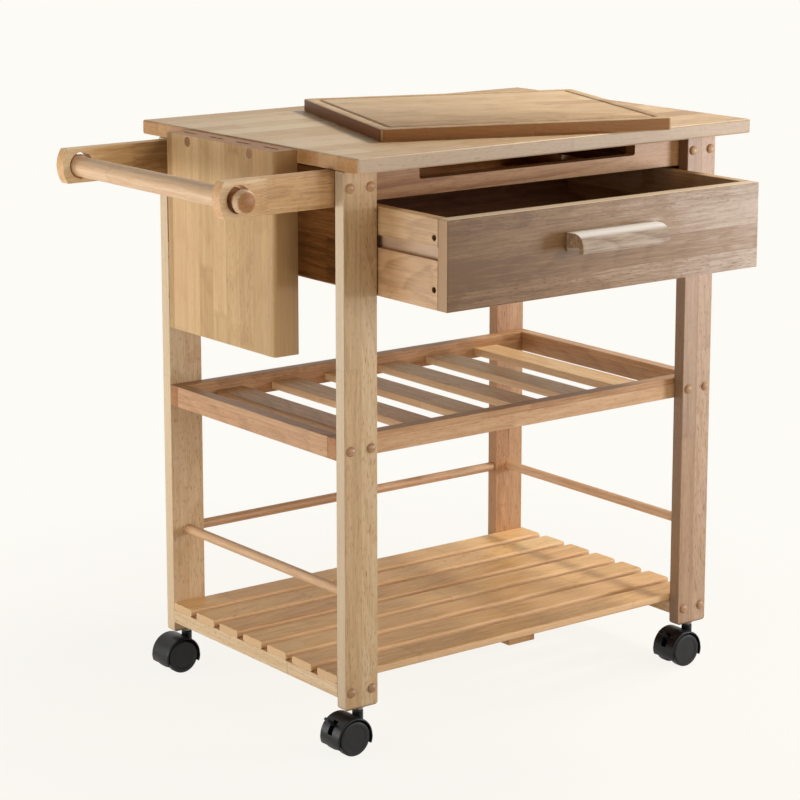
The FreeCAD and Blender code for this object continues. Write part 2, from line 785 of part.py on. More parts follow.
def build_drawer():
    """The drawer: a face board with a finger pull on a grooved box that hangs on the runners."""
    panel = node(
        box(
            "drawer_bottom",
            ("box_inner_left - panel_tongue", "box_front + drawer_side_thickness - panel_tongue",
             "panel_bottom"),
            ("box_length + 2 * panel_tongue", "box_depth + 2 * panel_tongue", "panel_thickness"),
        ),
        "drawer_bottom",
    )
    heights = ("drawer_top - drawer_screw_inset", "drawer_foot + drawer_screw_inset")
    sides = (("left", "drawer_left", 1), ("right", "drawer_left + drawer_length", -1))
    screws = []
    for _, face, inward in sides:
        for height in heights:
            way = FreeCAD.Vector(inward, 0, 0)
            screws.append(wood_screw((face, "drawer_screw_y", height), way, number("drawer_screw_length"),
                                     number("drawer_screw_recess")))
    all_screws = node(shape_group("drawer_screws", screws), "drawer_screws")
    side_size = ("drawer_side_thickness", "side_length", "drawer_height")
    groove_size = ("groove_cut", "side_length", "runner_height + 2 * runner_clearance")
    for side, face, inward in sides:
        left = face if inward > 0 else f"{face} - drawer_side_thickness"
        groove_left = face if inward > 0 else f"{face} - groove_cut"
        blank = box(f"drawer_{side}_blank", (left, "box_front", "drawer_foot"), side_size)
        soft = eased(f"drawer_{side}_soft", blank, "edge_round", along("y"))
        groove = box(f"drawer_{side}_groove", (groove_left, "box_front", "groove_bottom"), groove_size)
        wells = []
        for index, height in enumerate(heights, 1):
            well_left = face if inward > 0 else f"{face} - drawer_screw_recess"
            wells.append(cylinder(f"drawer_{side}_well_{index}", (well_left, "drawer_screw_y", height), "x",
                                  "screw_head", "drawer_screw_recess"))
        node(cut(f"drawer_{side}_side", soft, groove, panel, all_screws, *wells), f"drawer_{side}_side")
    box_size = ("box_length", "drawer_side_thickness", "drawer_height - drawer_box_drop")
    for side, front in (("box_front", "box_front"), ("back", "box_back")):
        blank = box(f"drawer_{side}_blank", ("box_inner_left", front, "drawer_foot"), box_size)
        node(cut(f"drawer_{side}", blank, panel, all_screws), f"drawer_{side}")
    face_size = ("drawer_length", "drawer_front_thickness", "drawer_height")
    face = box("drawer_front_blank", ("drawer_left", "drawer_face", "drawer_foot"), face_size)
    node(eased("drawer_front", face, "edge_round"), "drawer_front")


def build_pull():
    """The finger pull: a bar rounded over in front, with a shallow recess behind its lip from below."""
    wall = "pull_projection - recess_wall"
    corners = (
        ("0", "0", None),
        ("pull_lip", "0", None),
        ("pull_lip", "recess_height - recess_round", "-recess_round"),
        ("pull_lip + recess_round", "recess_height", None),
        (f"{wall} - recess_round", "recess_height", "-recess_round"),
        (wall, "recess_height - recess_round", None),
        (wall, "0", None),
        ("pull_projection", "0", None),
        ("pull_projection", "pull_height", None),
        ("pull_round", "pull_height", "pull_round"),
        ("0", "pull_height - pull_round", None),
    )
    at = ("pull_left", "drawer_face - pull_projection", "pull_bottom")
    node(padded("drawer_pull", "YZ_Plane", corners, "pull_length", at), "drawer_pull")


def build_runners():
    """Wooden runners on the side aprons, from behind the closed drawer's face to the back panel."""
    size = ("runner_width", "back_rail - runner_front", "runner_height")
    height = "groove_bottom + runner_clearance"
    for side, left in (("left", "rail_thickness"), ("right", "frame_length - rail_thickness - runner_width")):
        label = f"{side}_runner"
        node(box(label, (left, "runner_front", height), size), label)


def build_caster(name, stem_x, stem_y, braked):
    """One twin-wheel caster: stem, hood, wheel pair and axle, with a brake lever where it has one."""
    axle_x = f"{stem_x} - caster_trail"
    half_width = "caster_width / 2"
    roof = cylinder(f"{name}_roof", (axle_x, f"{stem_y} + {half_width}", "axle_height"), "-y",
                    "hood_diameter", "caster_width")
    roof.Angle = HALF_TURN
    soft_roof = eased(f"{name}_roof_soft", roof, "hood_round", circles)
    boss = cylinder(f"{name}_boss_blank", (stem_x, stem_y, "axle_height"), "z", "boss_diameter",
                    "boss_top - axle_height")

    def rim(edge):
        return circles(edge) and edge.CenterOfMass.z > number("boss_top - boss_round")

    soft_boss = eased(f"{name}_boss", boss, "boss_round", rim)
    cavities = []
    for side, start in (("near", f"{stem_y} - {half_width}"), ("far", f"{stem_y} + web_thickness / 2")):
        cavities.append(cylinder(f"{name}_{side}_cavity", (axle_x, start, "axle_height"), "y",
                                 "cavity_diameter", "caster_width / 2 - web_thickness / 2"))
    shell = cut(f"{name}_hood_shell", fuse(f"{name}_hood_blank", soft_roof, soft_boss), *cavities)
    axle_boss = cylinder(f"{name}_axle_boss", (axle_x, f"{stem_y} - web_thickness / 2", "axle_height"), "y",
                         "axle_boss", "web_thickness")
    hood_body = fuse(f"{name}_hood_body", shell, axle_boss)
    tools = [cylinder(f"{name}_axle_bore", (axle_x, f"{stem_y} - web_thickness / 2", "axle_height"), "y",
                      "axle_diameter + 2 * running_clearance", "web_thickness")]
    stem_bottom = "boss_top - stem_root"
    pin = cylinder(f"{name}_stem_pin", (stem_x, stem_y, stem_bottom), "z", "stem_diameter",
                   "stem_root + caster_height + stem_reach - boss_top")
    collar = cylinder(f"{name}_stem_collar", (stem_x, stem_y, "boss_top"), "z", "collar_diameter",
                      "collar_top - boss_top")
    node(fuse(f"caster_stem_{name}", pin, collar), f"caster_stem_{name}")
    tools.append(pin)
    if braked:
        tools += build_lever(name, axle_x, stem_y)
    node(cut(f"caster_hood_{name}", hood_body, *tools), f"caster_hood_{name}")
    axle_start = f"{stem_y} - {half_width} + axle_recess"
    axle = cylinder(f"caster_axle_{name}", (axle_x, axle_start, "axle_height"), "y", "axle_diameter",
                    "caster_width - 2 * axle_recess")
    node(axle, f"caster_axle_{name}")
    tread = "wheel_diameter / 2"
    corners = (
        ("0", "wheel_dish_depth", None),
        ("wheel_dish / 2 - wheel_dish_depth", "wheel_dish_depth", None),
        ("wheel_dish / 2", "0", None),
        (f"{tread} - wheel_round", "0", "wheel_round"),
        (tread, "wheel_round", None),
        (tread, "wheel_width - wheel_round", "wheel_round"),
        (f"{tread} - wheel_round", "wheel_width", None),
        ("axle_diameter / 2", "wheel_width", None),
        ("axle_diameter / 2", "axle_recess", None),
        ("0", "axle_recess", None),
    )
    near = turned(f"{name}_near_wheel", corners, (axle_x, f"{stem_y} - {half_width}", "axle_height"))
    far = turned(f"{name}_far_wheel", corners, (axle_x, f"{stem_y} + {half_width}", "axle_height"),
                 FreeCAD.Rotation(AXIS_VECTOR["z"], HALF_TURN))
    node(group(f"caster_wheels_{name}", near, far), f"caster_wheels_{name}")


def build_lever(name, axle_x, stem_y):
    """A brake lever on trunnions in the hood's web; returns the space that the hood leaves for it."""
    turn = FreeCAD.Rotation(AXIS_VECTOR["y"], HALF_TURN + number("lever_tilt"))
    pivot = (f"{axle_x} - lever_pivot_back", "axle_height + lever_pivot_rise")
    half = turn.multVec(FreeCAD.Vector(0, 0, number("lever_thickness") / 2))
    paddle_at = (f"{pivot[0]} - ({half.x})", f"{stem_y} - lever_width / 2", f"{pivot[1]} - ({half.z})")
    paddle = box(f"{name}_lever_paddle_blank", paddle_at, ("lever_length", "lever_width", "lever_thickness"),
                 turn)
    barrel = cylinder(f"{name}_lever_barrel", (pivot[0], f"{stem_y} - lever_width / 2", pivot[1]), "y",
                      "lever_barrel", "lever_width")
    pin_length = "web_thickness - 2 * web_gap"
    trunnion = cylinder(f"{name}_lever_trunnion", (pivot[0], f"{stem_y} - ({pin_length}) / 2", pivot[1]), "y",
                        "lever_pin", pin_length)
    node(fuse(f"brake_lever_{name}", paddle, barrel, trunnion), f"brake_lever_{name}")
    pocket_width = "lever_width + 2 * lever_pocket_side_gap"
    below = turn.multVec(FreeCAD.Vector(-number("lever_barrel"), 0, -number("lever_pocket_above")))
    pocket_at = (f"{pivot[0]} + ({below.x})", f"{stem_y} - ({pocket_width}) / 2", f"{pivot[1]} + ({below.z})")
    pocket = box(f"{name}_lever_pocket", pocket_at,
                 ("lever_length", pocket_width, "lever_pocket_above + lever_pocket_below"), turn)
    pin_hole = cylinder(f"{name}_lever_pin_hole", (pivot[0], f"{stem_y} - web_thickness / 2", pivot[1]), "y",
                        "lever_pin + 2 * running_clearance", "web_thickness")
    return [pocket, pin_hole]


def build_casters():
    """A caster under each leg; the front pair has brakes."""
    for name, left, front, outward in leg_places():
        build_caster(name, f"{left} + leg_width / 2", f"{front} + leg_thickness / 2", outward < 0)


def write_parts():
    """Checks every object of the document, then writes one file for each sub-part."""
    DOC.recompute()
    failed = [o.Label for o in DOC.Objects if "Invalid" in o.State or "Error" in o.State]
    failed += [o.Label for o in NODES if o.Shape.isNull() or not o.Shape.isValid()]
    if failed:
        raise RuntimeError(f"failed objects: {failed}")
    os.makedirs("parts", exist_ok=True)
    for solid in NODES:
        solid.Shape.exportStep(f"parts/{solid.Label}.step")


def main():
    """Builds the cart from its fasteners outwards and writes it."""
    fill_sheet()
    screws, buttons, plugs = build_fasteners()
    guards = build_guards()
    sleeve_tubes = build_sleeves()
    build_legs(screws, buttons, guards, sleeve_tubes)
    build_worktop(screws)
    build_aprons(screws)
    build_board_rails()
    build_rack(screws)
    build_shelf(screws)
    build_knife_block(screws, plugs)
    build_towel_holder()
    build_cutting_board()
    build_runners()
    build_drawer()
    build_pull()
    build_casters()
    write_parts()


main()
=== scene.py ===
"""Studio picture of a wooden kitchen cart: glued hardwood boards, turned dowels and black casters.

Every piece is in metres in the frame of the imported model. Boards, dowels, buttons, the drawer pull, the
cutting board and the casters' skirts are surfaces worked out with numpy. The other pieces keep their
solids and get a finish.
"""
import logging
import math
from dataclasses import dataclass, field
from enum import Enum
from typing import Any

import bpy
import numpy as np
from bpy.types import ID, Material, Mesh, Node, NodeSocket, NodeTree, Object
from mathutils import Matrix, Vector

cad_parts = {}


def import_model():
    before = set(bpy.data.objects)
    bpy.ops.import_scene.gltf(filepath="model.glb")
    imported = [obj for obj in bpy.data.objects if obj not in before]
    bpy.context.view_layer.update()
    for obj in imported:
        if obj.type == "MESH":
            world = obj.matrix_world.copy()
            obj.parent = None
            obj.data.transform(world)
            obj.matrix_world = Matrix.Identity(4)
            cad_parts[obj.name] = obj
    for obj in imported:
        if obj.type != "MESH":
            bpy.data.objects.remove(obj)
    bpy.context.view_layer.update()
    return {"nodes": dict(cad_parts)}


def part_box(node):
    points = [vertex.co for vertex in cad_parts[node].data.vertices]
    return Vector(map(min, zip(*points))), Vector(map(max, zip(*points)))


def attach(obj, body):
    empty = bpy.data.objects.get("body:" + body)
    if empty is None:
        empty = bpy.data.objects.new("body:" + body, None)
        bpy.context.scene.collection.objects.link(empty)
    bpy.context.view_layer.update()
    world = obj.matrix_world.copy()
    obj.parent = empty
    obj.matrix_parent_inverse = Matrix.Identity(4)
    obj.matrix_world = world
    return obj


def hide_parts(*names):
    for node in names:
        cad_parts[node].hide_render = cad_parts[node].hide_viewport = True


LOG = logging.getLogger("kitchen_cart")
MM = 0.001
QUARTER = math.pi / 2
CORNERS = ("front_left", "front_right", "back_left", "back_right")
Array = np.ndarray
Colour = tuple[float, float, float, float]
Point = tuple[float, float, float]


class Axis(Enum):
    """A direction of the frame, as the order of its own axis and the two across it."""

    X = (0, 1, 2)
    Y = (1, 2, 0)
    Z = (2, 0, 1)

    def vector(self) -> Array:
        """The unit vector of this direction."""
        return np.eye(3)[self.value[0]]


class Body(Enum):
    """The moving groups of the frame that new wooden pieces ride on."""

    FRAME = "frame"
    DRAWER = "drawer"
    ROD = "towel_rod"
    BOARD = "cutting_board"


class Slot(Enum):
    """Names of material slots for new pieces; the script passes them along and reads none."""

    WOOD = "light_wood"
    BOARD = "board_wood"
    PLUG = "plug_wood"
    PLASTIC = "black_plastic"


def linear(code: str) -> Colour:
    """Turns an sRGB hex colour to linear light.

    Args:
        code: Six hex digits after a hash sign.

    Returns:
        Red, green, blue and an alpha of one.
    """
    parts = [int(code[i:i + 2], 16) / 255 for i in (1, 3, 5)]
    lit = [c / 12.92 if c <= 0.04045 else ((c + 0.055) / 1.055) ** 2.4 for c in parts]
    return (lit[0], lit[1], lit[2], 1.0)


def blank(name: str) -> tuple[Material, NodeTree]:
    """Makes a material without nodes.

    Args:
        name: The material's name.

    Returns:
        The material and its empty tree.
    """
    material = bpy.data.materials.new(name)
    material.use_nodes = True
    material.node_tree.nodes.clear()
    return material, material.node_tree


def add(tree: NodeTree, kind: str, inputs: Any = (), **settings: Any) -> Node:
    """Adds one node with its settings, and links or sets its inputs.

    Args:
        tree: The node tree that gets the node.
        kind: The node's type name without its ShaderNode prefix, and its operation after a space, if any.
        inputs: What goes into the sockets in their order, or by their name or number. A node stands for
            its first output, an output is linked, and a plain value is set.
        settings: Properties of the node.

    Returns:
        The new node.
    """
    kind, _, operation = kind.partition(" ")
    node = tree.nodes.new("ShaderNode" + kind)
    if operation:
        node.operation = operation
    for name, value in settings.items():
        setattr(node, name, value)
    for key, value in inputs.items() if isinstance(inputs, dict) else enumerate(inputs):
        if isinstance(value, Node):
            value = value.outputs[0]
        if isinstance(value, NodeSocket):
            tree.links.new(value, node.inputs[key])
        else:
            node.inputs[key].default_value = value
    return node


def stops(node: Node, points: list[tuple[float, Colour]]) -> None:
    """Sets a colour ramp's stops.

    Args:
        node: The colour ramp.
        points: Position and linear colour of each stop, in order.
    """
    ramp = node.color_ramp
    while len(ramp.elements) < len(points):
        ramp.elements.new(1.0)
    for element, (position, colour) in zip(ramp.elements, points):
        element.position = position
        element.color = colour


@dataclass(frozen=True)
class Tone:
    """Deep, middle and pale colours of one board, as sRGB hex."""

    deep: str
    middle: str
    pale: str


class Woods(Enum):
    """The cart's boards by colour, as sawn and glued from one light hardwood; a few tones also carry
    painted light and painted shade.
    """

    HONEY = Tone("#A57F50", "#CAA673", "#E0C294")
    AMBER = Tone("#B08552", "#E4B981", "#FFE6BC")
    CREAM = Tone("#AF8C60", "#D2B184", "#E6CEA9")
    ROSY = Tone("#A0744A", "#C6996C", "#DCB78D")
    BLUSH = Tone("#9C7A5E", "#BA9878", "#D2B79B")
    GREY = Tone("#6C4A1E", "#957249", "#C2AB94")
    # Dark red-brown of the drawer box and board rails: partly wood tone, partly painted shade
    RED_AND_SHADE = Tone("#573520", "#7A5033", "#9C7150")
    # Deep brown of the left apron: painted shade
    SHADE_UMBER = Tone("#3C2412", "#583719", "#744C2A")
    # Near-white tone of the drawer pull: partly wood tone, partly painted reflection
    ASH_AND_SHEEN = Tone("#9E8A76", "#C2B09C", "#DACCBC")
    BOARD = Tone("#AA845B", "#D2B082", "#E7D0AC")
    BUTTON = Tone("#845C34", "#AC835A", "#C8A37A")
    # Bright ochre of the shelf slats: partly wood tone, partly painted light
    OCHRE_AND_LIGHT = Tone("#C6975D", "#F0C485", "#FCDEAA")
    PEACH = Tone("#B08760", "#D2A97E", "#E6C7A2")
    RUSSET = Tone("#784519", "#9F6B36", "#C69A68")
    TAN = Tone("#8F6B40", "#B38F5E", "#CBAA7A")


@dataclass(frozen=True)
class Noise:
    """A noise drawn out along the grain: its cells in 100 mm along and across, and its finer detail."""

    along: float
    across: float
    detail: float = 0.0
    rough: float = 0.5

    def scale(self) -> Point:
        """Cells in a millimetre along, across and through the board."""
        return (self.along / 100, self.across / 100, self.across / 100)


class Figure(Enum):
    """The noises in a board.

    Streaks are about 7 mm wide and the slow drift about 30 mm. Fibres of about 3 mm and pores, dashes of
    about 10 mm by 0.9 mm, are drawn coarser than real ones so that they show.
    """

    STREAK = Noise(0.3, 14.0, 3.0, 0.55)
    FIBRE = Noise(2.4, 36.0, 3.0, 0.65)
    DRIFT = Noise(0.6, 3.0, 1.0)
    PORE = Noise(10.0, 110.0)


@dataclass(frozen=True)
class Paint:
    """An sRGB hex colour, and the weight with which it covers a face."""

    colour: str = "#FFFFFF"
    weight: float = 0.0


@dataclass(frozen=True)
class Timber:
    """Rubberwood, a light hardwood, sawn in staves, finger-jointed, glued, sanded and satin lacquered.

    To the eye that gives bands of slightly different tan along the grain, comb-shaped joints between
    lengths, faint ring lines that open to arches, short fine pores, darker end grain and a soft gloss.

    The pattern is worked out in millimetres along the grain, across the staves and through the board. It is
    named for the solid that it covers. Contrast, lengths, streaks, fibres, drift and figure say how far the
    staves, their lengths, the noises and the rings move the tone, which runs from 0, deep, to 1, pale. The
    slope is the change of tone in a metre along the grain, about the middle; on the boards here that use
    it, it is a painted gradient of light and shade. Pores and blush weigh the pores and the rosier lengths,
    and the end stain darkens end grain. Paints cover the ends, the sides, which face across the staves, and
    the floor of a groove at its depth; on several boards a paint is painted light, on others painted shade.
    End and side begin where the cosine of the surface's facing is over facing_from.
    """

    name: str
    tone: Woods
    grain: Axis
    across: Axis
    stave_mm: float
    shift_mm: float = 0.0
    seed: float = 0.0
    turn_deg: float = 0.0
    segment_mm: float = 420.0
    contrast: float = 0.5
    lengths: float = 0.28
    streaks: float = 0.8
    fibres: float = 0.9
    drift: float = 0.25
    figure: float = 0.2
    pores: float = 1.0
    slope: float = 0.0
    middle_mm: float = 0.0
    blush: float = 0.3
    end_stain: str = "#DCC4AC"
    ends: Paint = Paint()
    sides: Paint = Paint()
    floor: Paint = Paint()
    facing_from: float = 0.6
    facing_full: float = 0.95
    floor_mm: float = 0.0
    floor_within_mm: float = 0.6
    roughness: float = 0.46
    gloss_spread: float = 0.08
    specular: float = 0.42
    finger_mm: float = 9.0
    finger_pitch_mm: float = 4.4
    finger_slant: float = 0.25
    glue_near_mm: float = 0.15
    glue_far_mm: float = 0.75
    glue_weight: float = 0.2
    ring_mm: float = 6.0
    ring_wander_mm: float = 7.0
    ring_line: tuple[tuple[float, float], ...] = ((0.0, 0.15), (0.55, 0.35), (0.88, 1.0), (1.0, 0.15))
    pith_first: float = -0.25
    pith_span: float = 1.5
    pith_lean: float = 0.09
    pith_near_mm: float = 10.0
    pith_far_mm: float = 70.0
    pore_from: float = 0.63
    pore_full: float = 0.84
    pore_relief: float = -0.6
    relief: float = 0.1
    relief_mm: float = 0.3
    rose_stain: str = "#F2D3C0"
    pore_stain: str = "#C0A080"
    glue_stain: str = "#9A7450"
    stave_draw: float = 3.7
    length_draw: float = 11.3
    length_jump: float = 7.0
    noise_jump: float = 60.0

    def axes(self) -> Matrix:
        """Rows of the grain, stave and depth directions, as the pattern's own axes."""
        turn = Matrix.Rotation(math.radians(self.turn_deg), 3, "Z")
        grain = turn @ Vector(self.grain.vector())
        across = turn @ Vector(self.across.vector())
        return Matrix((grain, across, grain.cross(across)))

    def material(self) -> Material:
        """Builds the timber's shader.

        Returns:
            The finished material.
        """
        material, tree = blank(f"rubberwood_{self.name}")
        rows = self.axes()
        source = add(tree, "TexCoord")
        placed = add(tree, "Mapping", {"Vector": source.outputs["Object"], "Rotation": rows.to_euler(),
                                       "Scale": (1 / MM, 1 / MM, 1 / MM)})
        along, wide, deep = add(tree, "SeparateXYZ", [placed]).outputs

        # Staves: a number for each strip, and the chances that go with it
        moved = add(tree, "Math ADD", [wide, self.shift_mm])
        counted = add(tree, "Math DIVIDE", [moved, self.stave_mm])
        stave = add(tree, "Math FLOOR", [counted])
        stave_key = add(tree, "CombineXYZ", [stave, self.seed, self.stave_draw])
        stave_chance = add(tree, "TexWhiteNoise", {"Vector": stave_key}, noise_dimensions="3D")
        chances = add(tree, "SeparateColor", [stave_chance.outputs["Color"]]).outputs

        # Lengths: the joint between two lengths of a stave zigzags like the fingers of two combs
        half_pitch = self.finger_pitch_mm / 2
        comb = add(tree, "Math PINGPONG", [wide, half_pitch])
        fingers = add(tree, "Math MULTIPLY_ADD", [comb, self.finger_mm / half_pitch, along])
        length_at = add(tree, "Math DIVIDE", [fingers, self.segment_mm])
        length_shift = add(tree, "Math MULTIPLY_ADD", [chances[1], self.length_jump, length_at])
        length_no = add(tree, "Math FLOOR", [length_shift])
        length_key = add(tree, "CombineXYZ", [stave, length_no, self.seed + self.length_draw])
        length_chance = add(tree, "TexWhiteNoise", {"Vector": length_key}, noise_dimensions="3D")
        length_chances = add(tree, "SeparateColor", [length_chance.outputs["Color"]]).outputs

        # Glue lines between staves and lengths; real ones are finer than the picture shows
        stave_edge = add(tree, "Math PINGPONG", [moved, self.stave_mm / 2])
        length_edge = add(tree, "Math PINGPONG", [length_shift, 0.5])
        length_edge_mm = add(tree, "Math MULTIPLY", [length_edge, self.segment_mm * self.finger_slant])
        glue_mm = add(tree, "Math MINIMUM", [stave_edge, length_edge_mm])
        glue = add(tree, "MapRange", [glue_mm, self.glue_near_mm, self.glue_far_mm, self.glue_weight, 0.0],
                   interpolation_type="SMOOTHSTEP")

        # Noises: each length takes them from a place of its own
        jump = add(tree, "VectorMath SCALE", {0: length_chance.outputs["Color"], "Scale": self.noise_jump})
        noises = []
        for noise in (figure.value for figure in Figure):
            at = add(tree, "VectorMath MULTIPLY_ADD", [placed, noise.scale(), jump])
            noises.append(add(tree, "TexNoise", {"Vector": at, "Scale": 1.0, "Detail": noise.detail,
                                                 "Roughness": noise.rough}))
        streak, fibre, drift, pore = noises
        pore_mask = add(tree, "MapRange", [pore, self.pore_from, self.pore_full, 0.0, 1.0],
                        interpolation_type="SMOOTHSTEP")
        porous = add(tree, "Math MULTIPLY", [chances[2], self.pores])
        pores = add(tree, "Math MULTIPLY", [pore_mask, porous])

        # Growth rings: distance from a pith line that leans away from the board, so flat sawn faces arch
        part = add(tree, "Math FRACT", [counted])
        pith = add(tree, "Math MULTIPLY_ADD", [chances[0], self.pith_span, self.pith_first])
        aside = add(tree, "Math SUBTRACT", [part, pith])
        aside_mm = add(tree, "Math MULTIPLY", [aside, self.stave_mm])
        lean = add(tree, "MapRange", [chances[2], 0.0, 1.0, -self.pith_lean, self.pith_lean])
        leaning = add(tree, "Math MULTIPLY_ADD", [along, lean, deep])
        below = add(tree, "MapRange", [chances[1], 0.0, 1.0, self.pith_near_mm, self.pith_far_mm])
        sunk = add(tree, "Math ADD", [leaning, below])
        ring_place = add(tree, "CombineXYZ", [0.0, aside_mm, sunk])
        radius = add(tree, "VectorMath LENGTH", [ring_place]).outputs["Value"]
        wander = add(tree, "Math MULTIPLY_ADD", [drift, self.ring_wander_mm, radius])
        phase = add(tree, "Math DIVIDE", [wander, self.ring_mm])
        ring = add(tree, "ValToRGB", [add(tree, "Math FRACT", [phase])])
        stops(ring, [(position, (grey, grey, grey, 1.0)) for position, grey in self.ring_line])

        # Every layer adds its weight about its own mean
        layers = (
            (length_chance.outputs["Value"], self.lengths, 0.5),
            (streak, self.streaks, 0.5),
            (fibre, self.fibres, 0.5),
            (drift, self.drift, 0.5),
            (ring, -self.figure, 0.4),
        )
        base = 0.5 - self.contrast / 2 - sum(weight * mean for _, weight, mean in layers)
        tone = add(tree, "Math MULTIPLY_ADD", [stave_chance.outputs["Value"], self.contrast, base])
        for layer, weight, _ in layers:
            tone = add(tree, "Math MULTIPLY_ADD", [layer, weight, tone])
        # A slope of tone along the grain, about the middle: on the boards that use it, a painted gradient
        # of light and shade
        far = add(tree, "Math SUBTRACT", [along, self.middle_mm])
        tone = add(tree, "Math MULTIPLY_ADD", [far, self.slope * MM, tone])
        colour = add(tree, "ValToRGB", [tone])
        shades = self.tone.value
        stops(colour, [(0.0, linear(shades.deep)), (0.5, linear(shades.middle)),
                       (1.0, linear(shades.pale))])

        # Some lengths are rosier, pores and glue lines are darker, and end grain drinks more lacquer
        rosier = add(tree, "Math MULTIPLY", [length_chances[1], self.blush])
        masks = []
        for row in rows[:2]:
            dot = add(tree, "VectorMath DOT_PRODUCT", [source.outputs["Normal"], tuple(row)])
            facing = add(tree, "Math ABSOLUTE", [dot.outputs["Value"]])
            masks.append(add(tree, "MapRange", [facing, self.facing_from, self.facing_full, 0.0, 1.0],
                             interpolation_type="SMOOTHSTEP"))
        end_mask, side_mask = masks
        finished = colour.outputs[0]
        for mask, stain in ((rosier, self.rose_stain), (pores, self.pore_stain), (glue, self.glue_stain),
                            (end_mask, self.end_stain)):
            finished = add(tree, "Mix", {0: mask, 6: finished, 7: linear(stain)}, data_type="RGBA",
                           blend_type="MULTIPLY").outputs[2]

        # Ends, the faces across the staves and the floor of a groove can show a colour of their own; on
        # several boards it is painted light, on others painted shade
        floor_mask = add(tree, "Math COMPARE", [deep, self.floor_mm, self.floor_within_mm])
        for mask, paint in ((end_mask, self.ends), (side_mask, self.sides), (floor_mask, self.floor)):
            share = add(tree, "Math MULTIPLY", [mask, paint.weight])
            finished = add(tree, "Mix", {0: share, 6: finished, 7: linear(paint.colour)},
                           data_type="RGBA").outputs[2]

        height = add(tree, "Math MULTIPLY_ADD", [pore_mask, self.pore_relief, fibre])
        bump = add(tree, "Bump", {"Strength": self.relief, "Distance": self.relief_mm * MM,
                                  "Height": height})
        gloss = add(tree, "MapRange", [streak, 0.0, 1.0, self.roughness - self.gloss_spread,
                                       self.roughness + self.gloss_spread])
        shader = add(tree, "BsdfPrincipled", {"Base Color": finished, "Roughness": gloss, "Normal": bump,
                                              "Specular IOR Level": self.specular})
        add(tree, "OutputMaterial", {"Surface": shader})
        return material


@dataclass(frozen=True)
class Plastic:
    """Nylon moulded in black, with a spark-eroded satin face that breaks up its highlights."""

    name: str
    colour: str
    worn: str
    roughness: float
    specular: float = 0.3
    grit_mm: float = 0.5
    cloud_mm: float = 12.0
    smoother: float = 0.06
    rougher: float = 0.08
    relief: float = 0.1
    relief_mm: float = 0.1

    def material(self) -> Material:
        """Builds the plastic's shader: the mould's grit as relief, and broad cloudiness.

        Returns:
            The finished material.
        """
        material, tree = blank(f"moulded_nylon_{self.name}")
        place = add(tree, "TexCoord").outputs["Object"]
        grit = add(tree, "TexNoise", {"Vector": place, "Scale": 1 / (self.grit_mm * MM), "Detail": 2.0})
        cloud = add(tree, "TexNoise", {"Vector": place, "Scale": 1 / (self.cloud_mm * MM), "Detail": 3.0})
        colour = add(tree, "ValToRGB", [cloud])
        stops(colour, [(0.35, linear(self.colour)), (0.75, linear(self.worn))])
        gloss = add(tree, "MapRange", [cloud, 0.2, 0.8, self.roughness - self.smoother,
                                       self.roughness + self.rougher])
        bump = add(tree, "Bump", {"Strength": self.relief, "Distance": self.relief_mm * MM, "Height": grit})
        shader = add(tree, "BsdfPrincipled", {"Base Color": colour, "Roughness": gloss, "Normal": bump,
                                              "Specular IOR Level": self.specular})
        add(tree, "OutputMaterial", {"Surface": shader})
        return material


@dataclass(frozen=True)
class Steel:
    """Steel, turned and zinc plated, with a slightly cloudy grey face."""

    name: str
    colour: str
    bright: str
    roughness: float
    cloud_mm: float = 4.0
    gloss_spread: float = 0.1

    def material(self) -> Material:
        """Builds the metal's shader, with patches in the plating.

        Returns:
            The finished material.
        """
        material, tree = blank(f"zinc_plated_steel_{self.name}")
        place = add(tree, "TexCoord").outputs["Object"]
        cloud = add(tree, "TexNoise", {"Vector": place, "Scale": 1 / (self.cloud_mm * MM), "Detail": 4.0})
        gloss = add(tree, "MapRange", [cloud, 0.2, 0.8, self.roughness - self.gloss_spread,
                                       self.roughness + self.gloss_spread])
        colour = add(tree, "ValToRGB", [cloud])
        stops(colour, [(0.3, linear(self.colour)), (0.8, linear(self.bright))])
        shader = add(tree, "BsdfPrincipled", {"Base Color": colour, "Roughness": gloss, "Metallic": 1.0})
        add(tree, "OutputMaterial", {"Surface": shader})
        return material


@dataclass
class Surface:
    """A closed mesh as arrays: vertices, four-sided faces, flat end caps and, where known, normals."""

    vertices: Array
    quads: Array
    caps: list[Array] = field(default_factory=list)
    normals: Array | None = None

    def mesh(self, name: str, sharp_deg: float = 32.0) -> Mesh:
        """Puts the surface into a mesh.

        Args:
            name: The mesh's name.
            sharp_deg: Angle past which an edge stays sharp, where no normals are given.

        Returns:
            The smooth-shaded mesh.
        """
        mesh = bpy.data.meshes.new(name)
        faces = self.quads.tolist() + [cap.tolist() for cap in self.caps]
        mesh.from_pydata(self.vertices.tolist(), [], faces)
        mesh.polygons.foreach_set("use_smooth", np.ones(len(faces), dtype=bool))
        if self.normals is None:
            mesh.set_sharp_from_angle(angle=math.radians(sharp_deg))
        else:
            mesh.normals_split_custom_set_from_vertices(self.normals.tolist())
        mesh.update()
        return mesh


def joined(parts: list[Surface]) -> Surface:
    """Puts several surfaces into one by counting each one's points on from the last.

    Args:
        parts: The surfaces to join.

    Returns:
        One surface that holds them all.
    """
    starts = np.cumsum([0] + [len(p.vertices) for p in parts[:-1]])
    known = all(p.normals is not None for p in parts)
    return Surface(
        np.concatenate([p.vertices for p in parts]),
        np.concatenate([p.quads + s for p, s in zip(parts, starts)]),
        [cap + s for p, s in zip(parts, starts) for cap in p.caps],
        np.concatenate([p.normals for p in parts]) if known else None,
    )


def stacked(*coordinates: Array) -> Array:
    """Spreads three coordinates over one grid and puts them together as its points."""
    return np.stack(np.broadcast_arrays(*coordinates), -1)


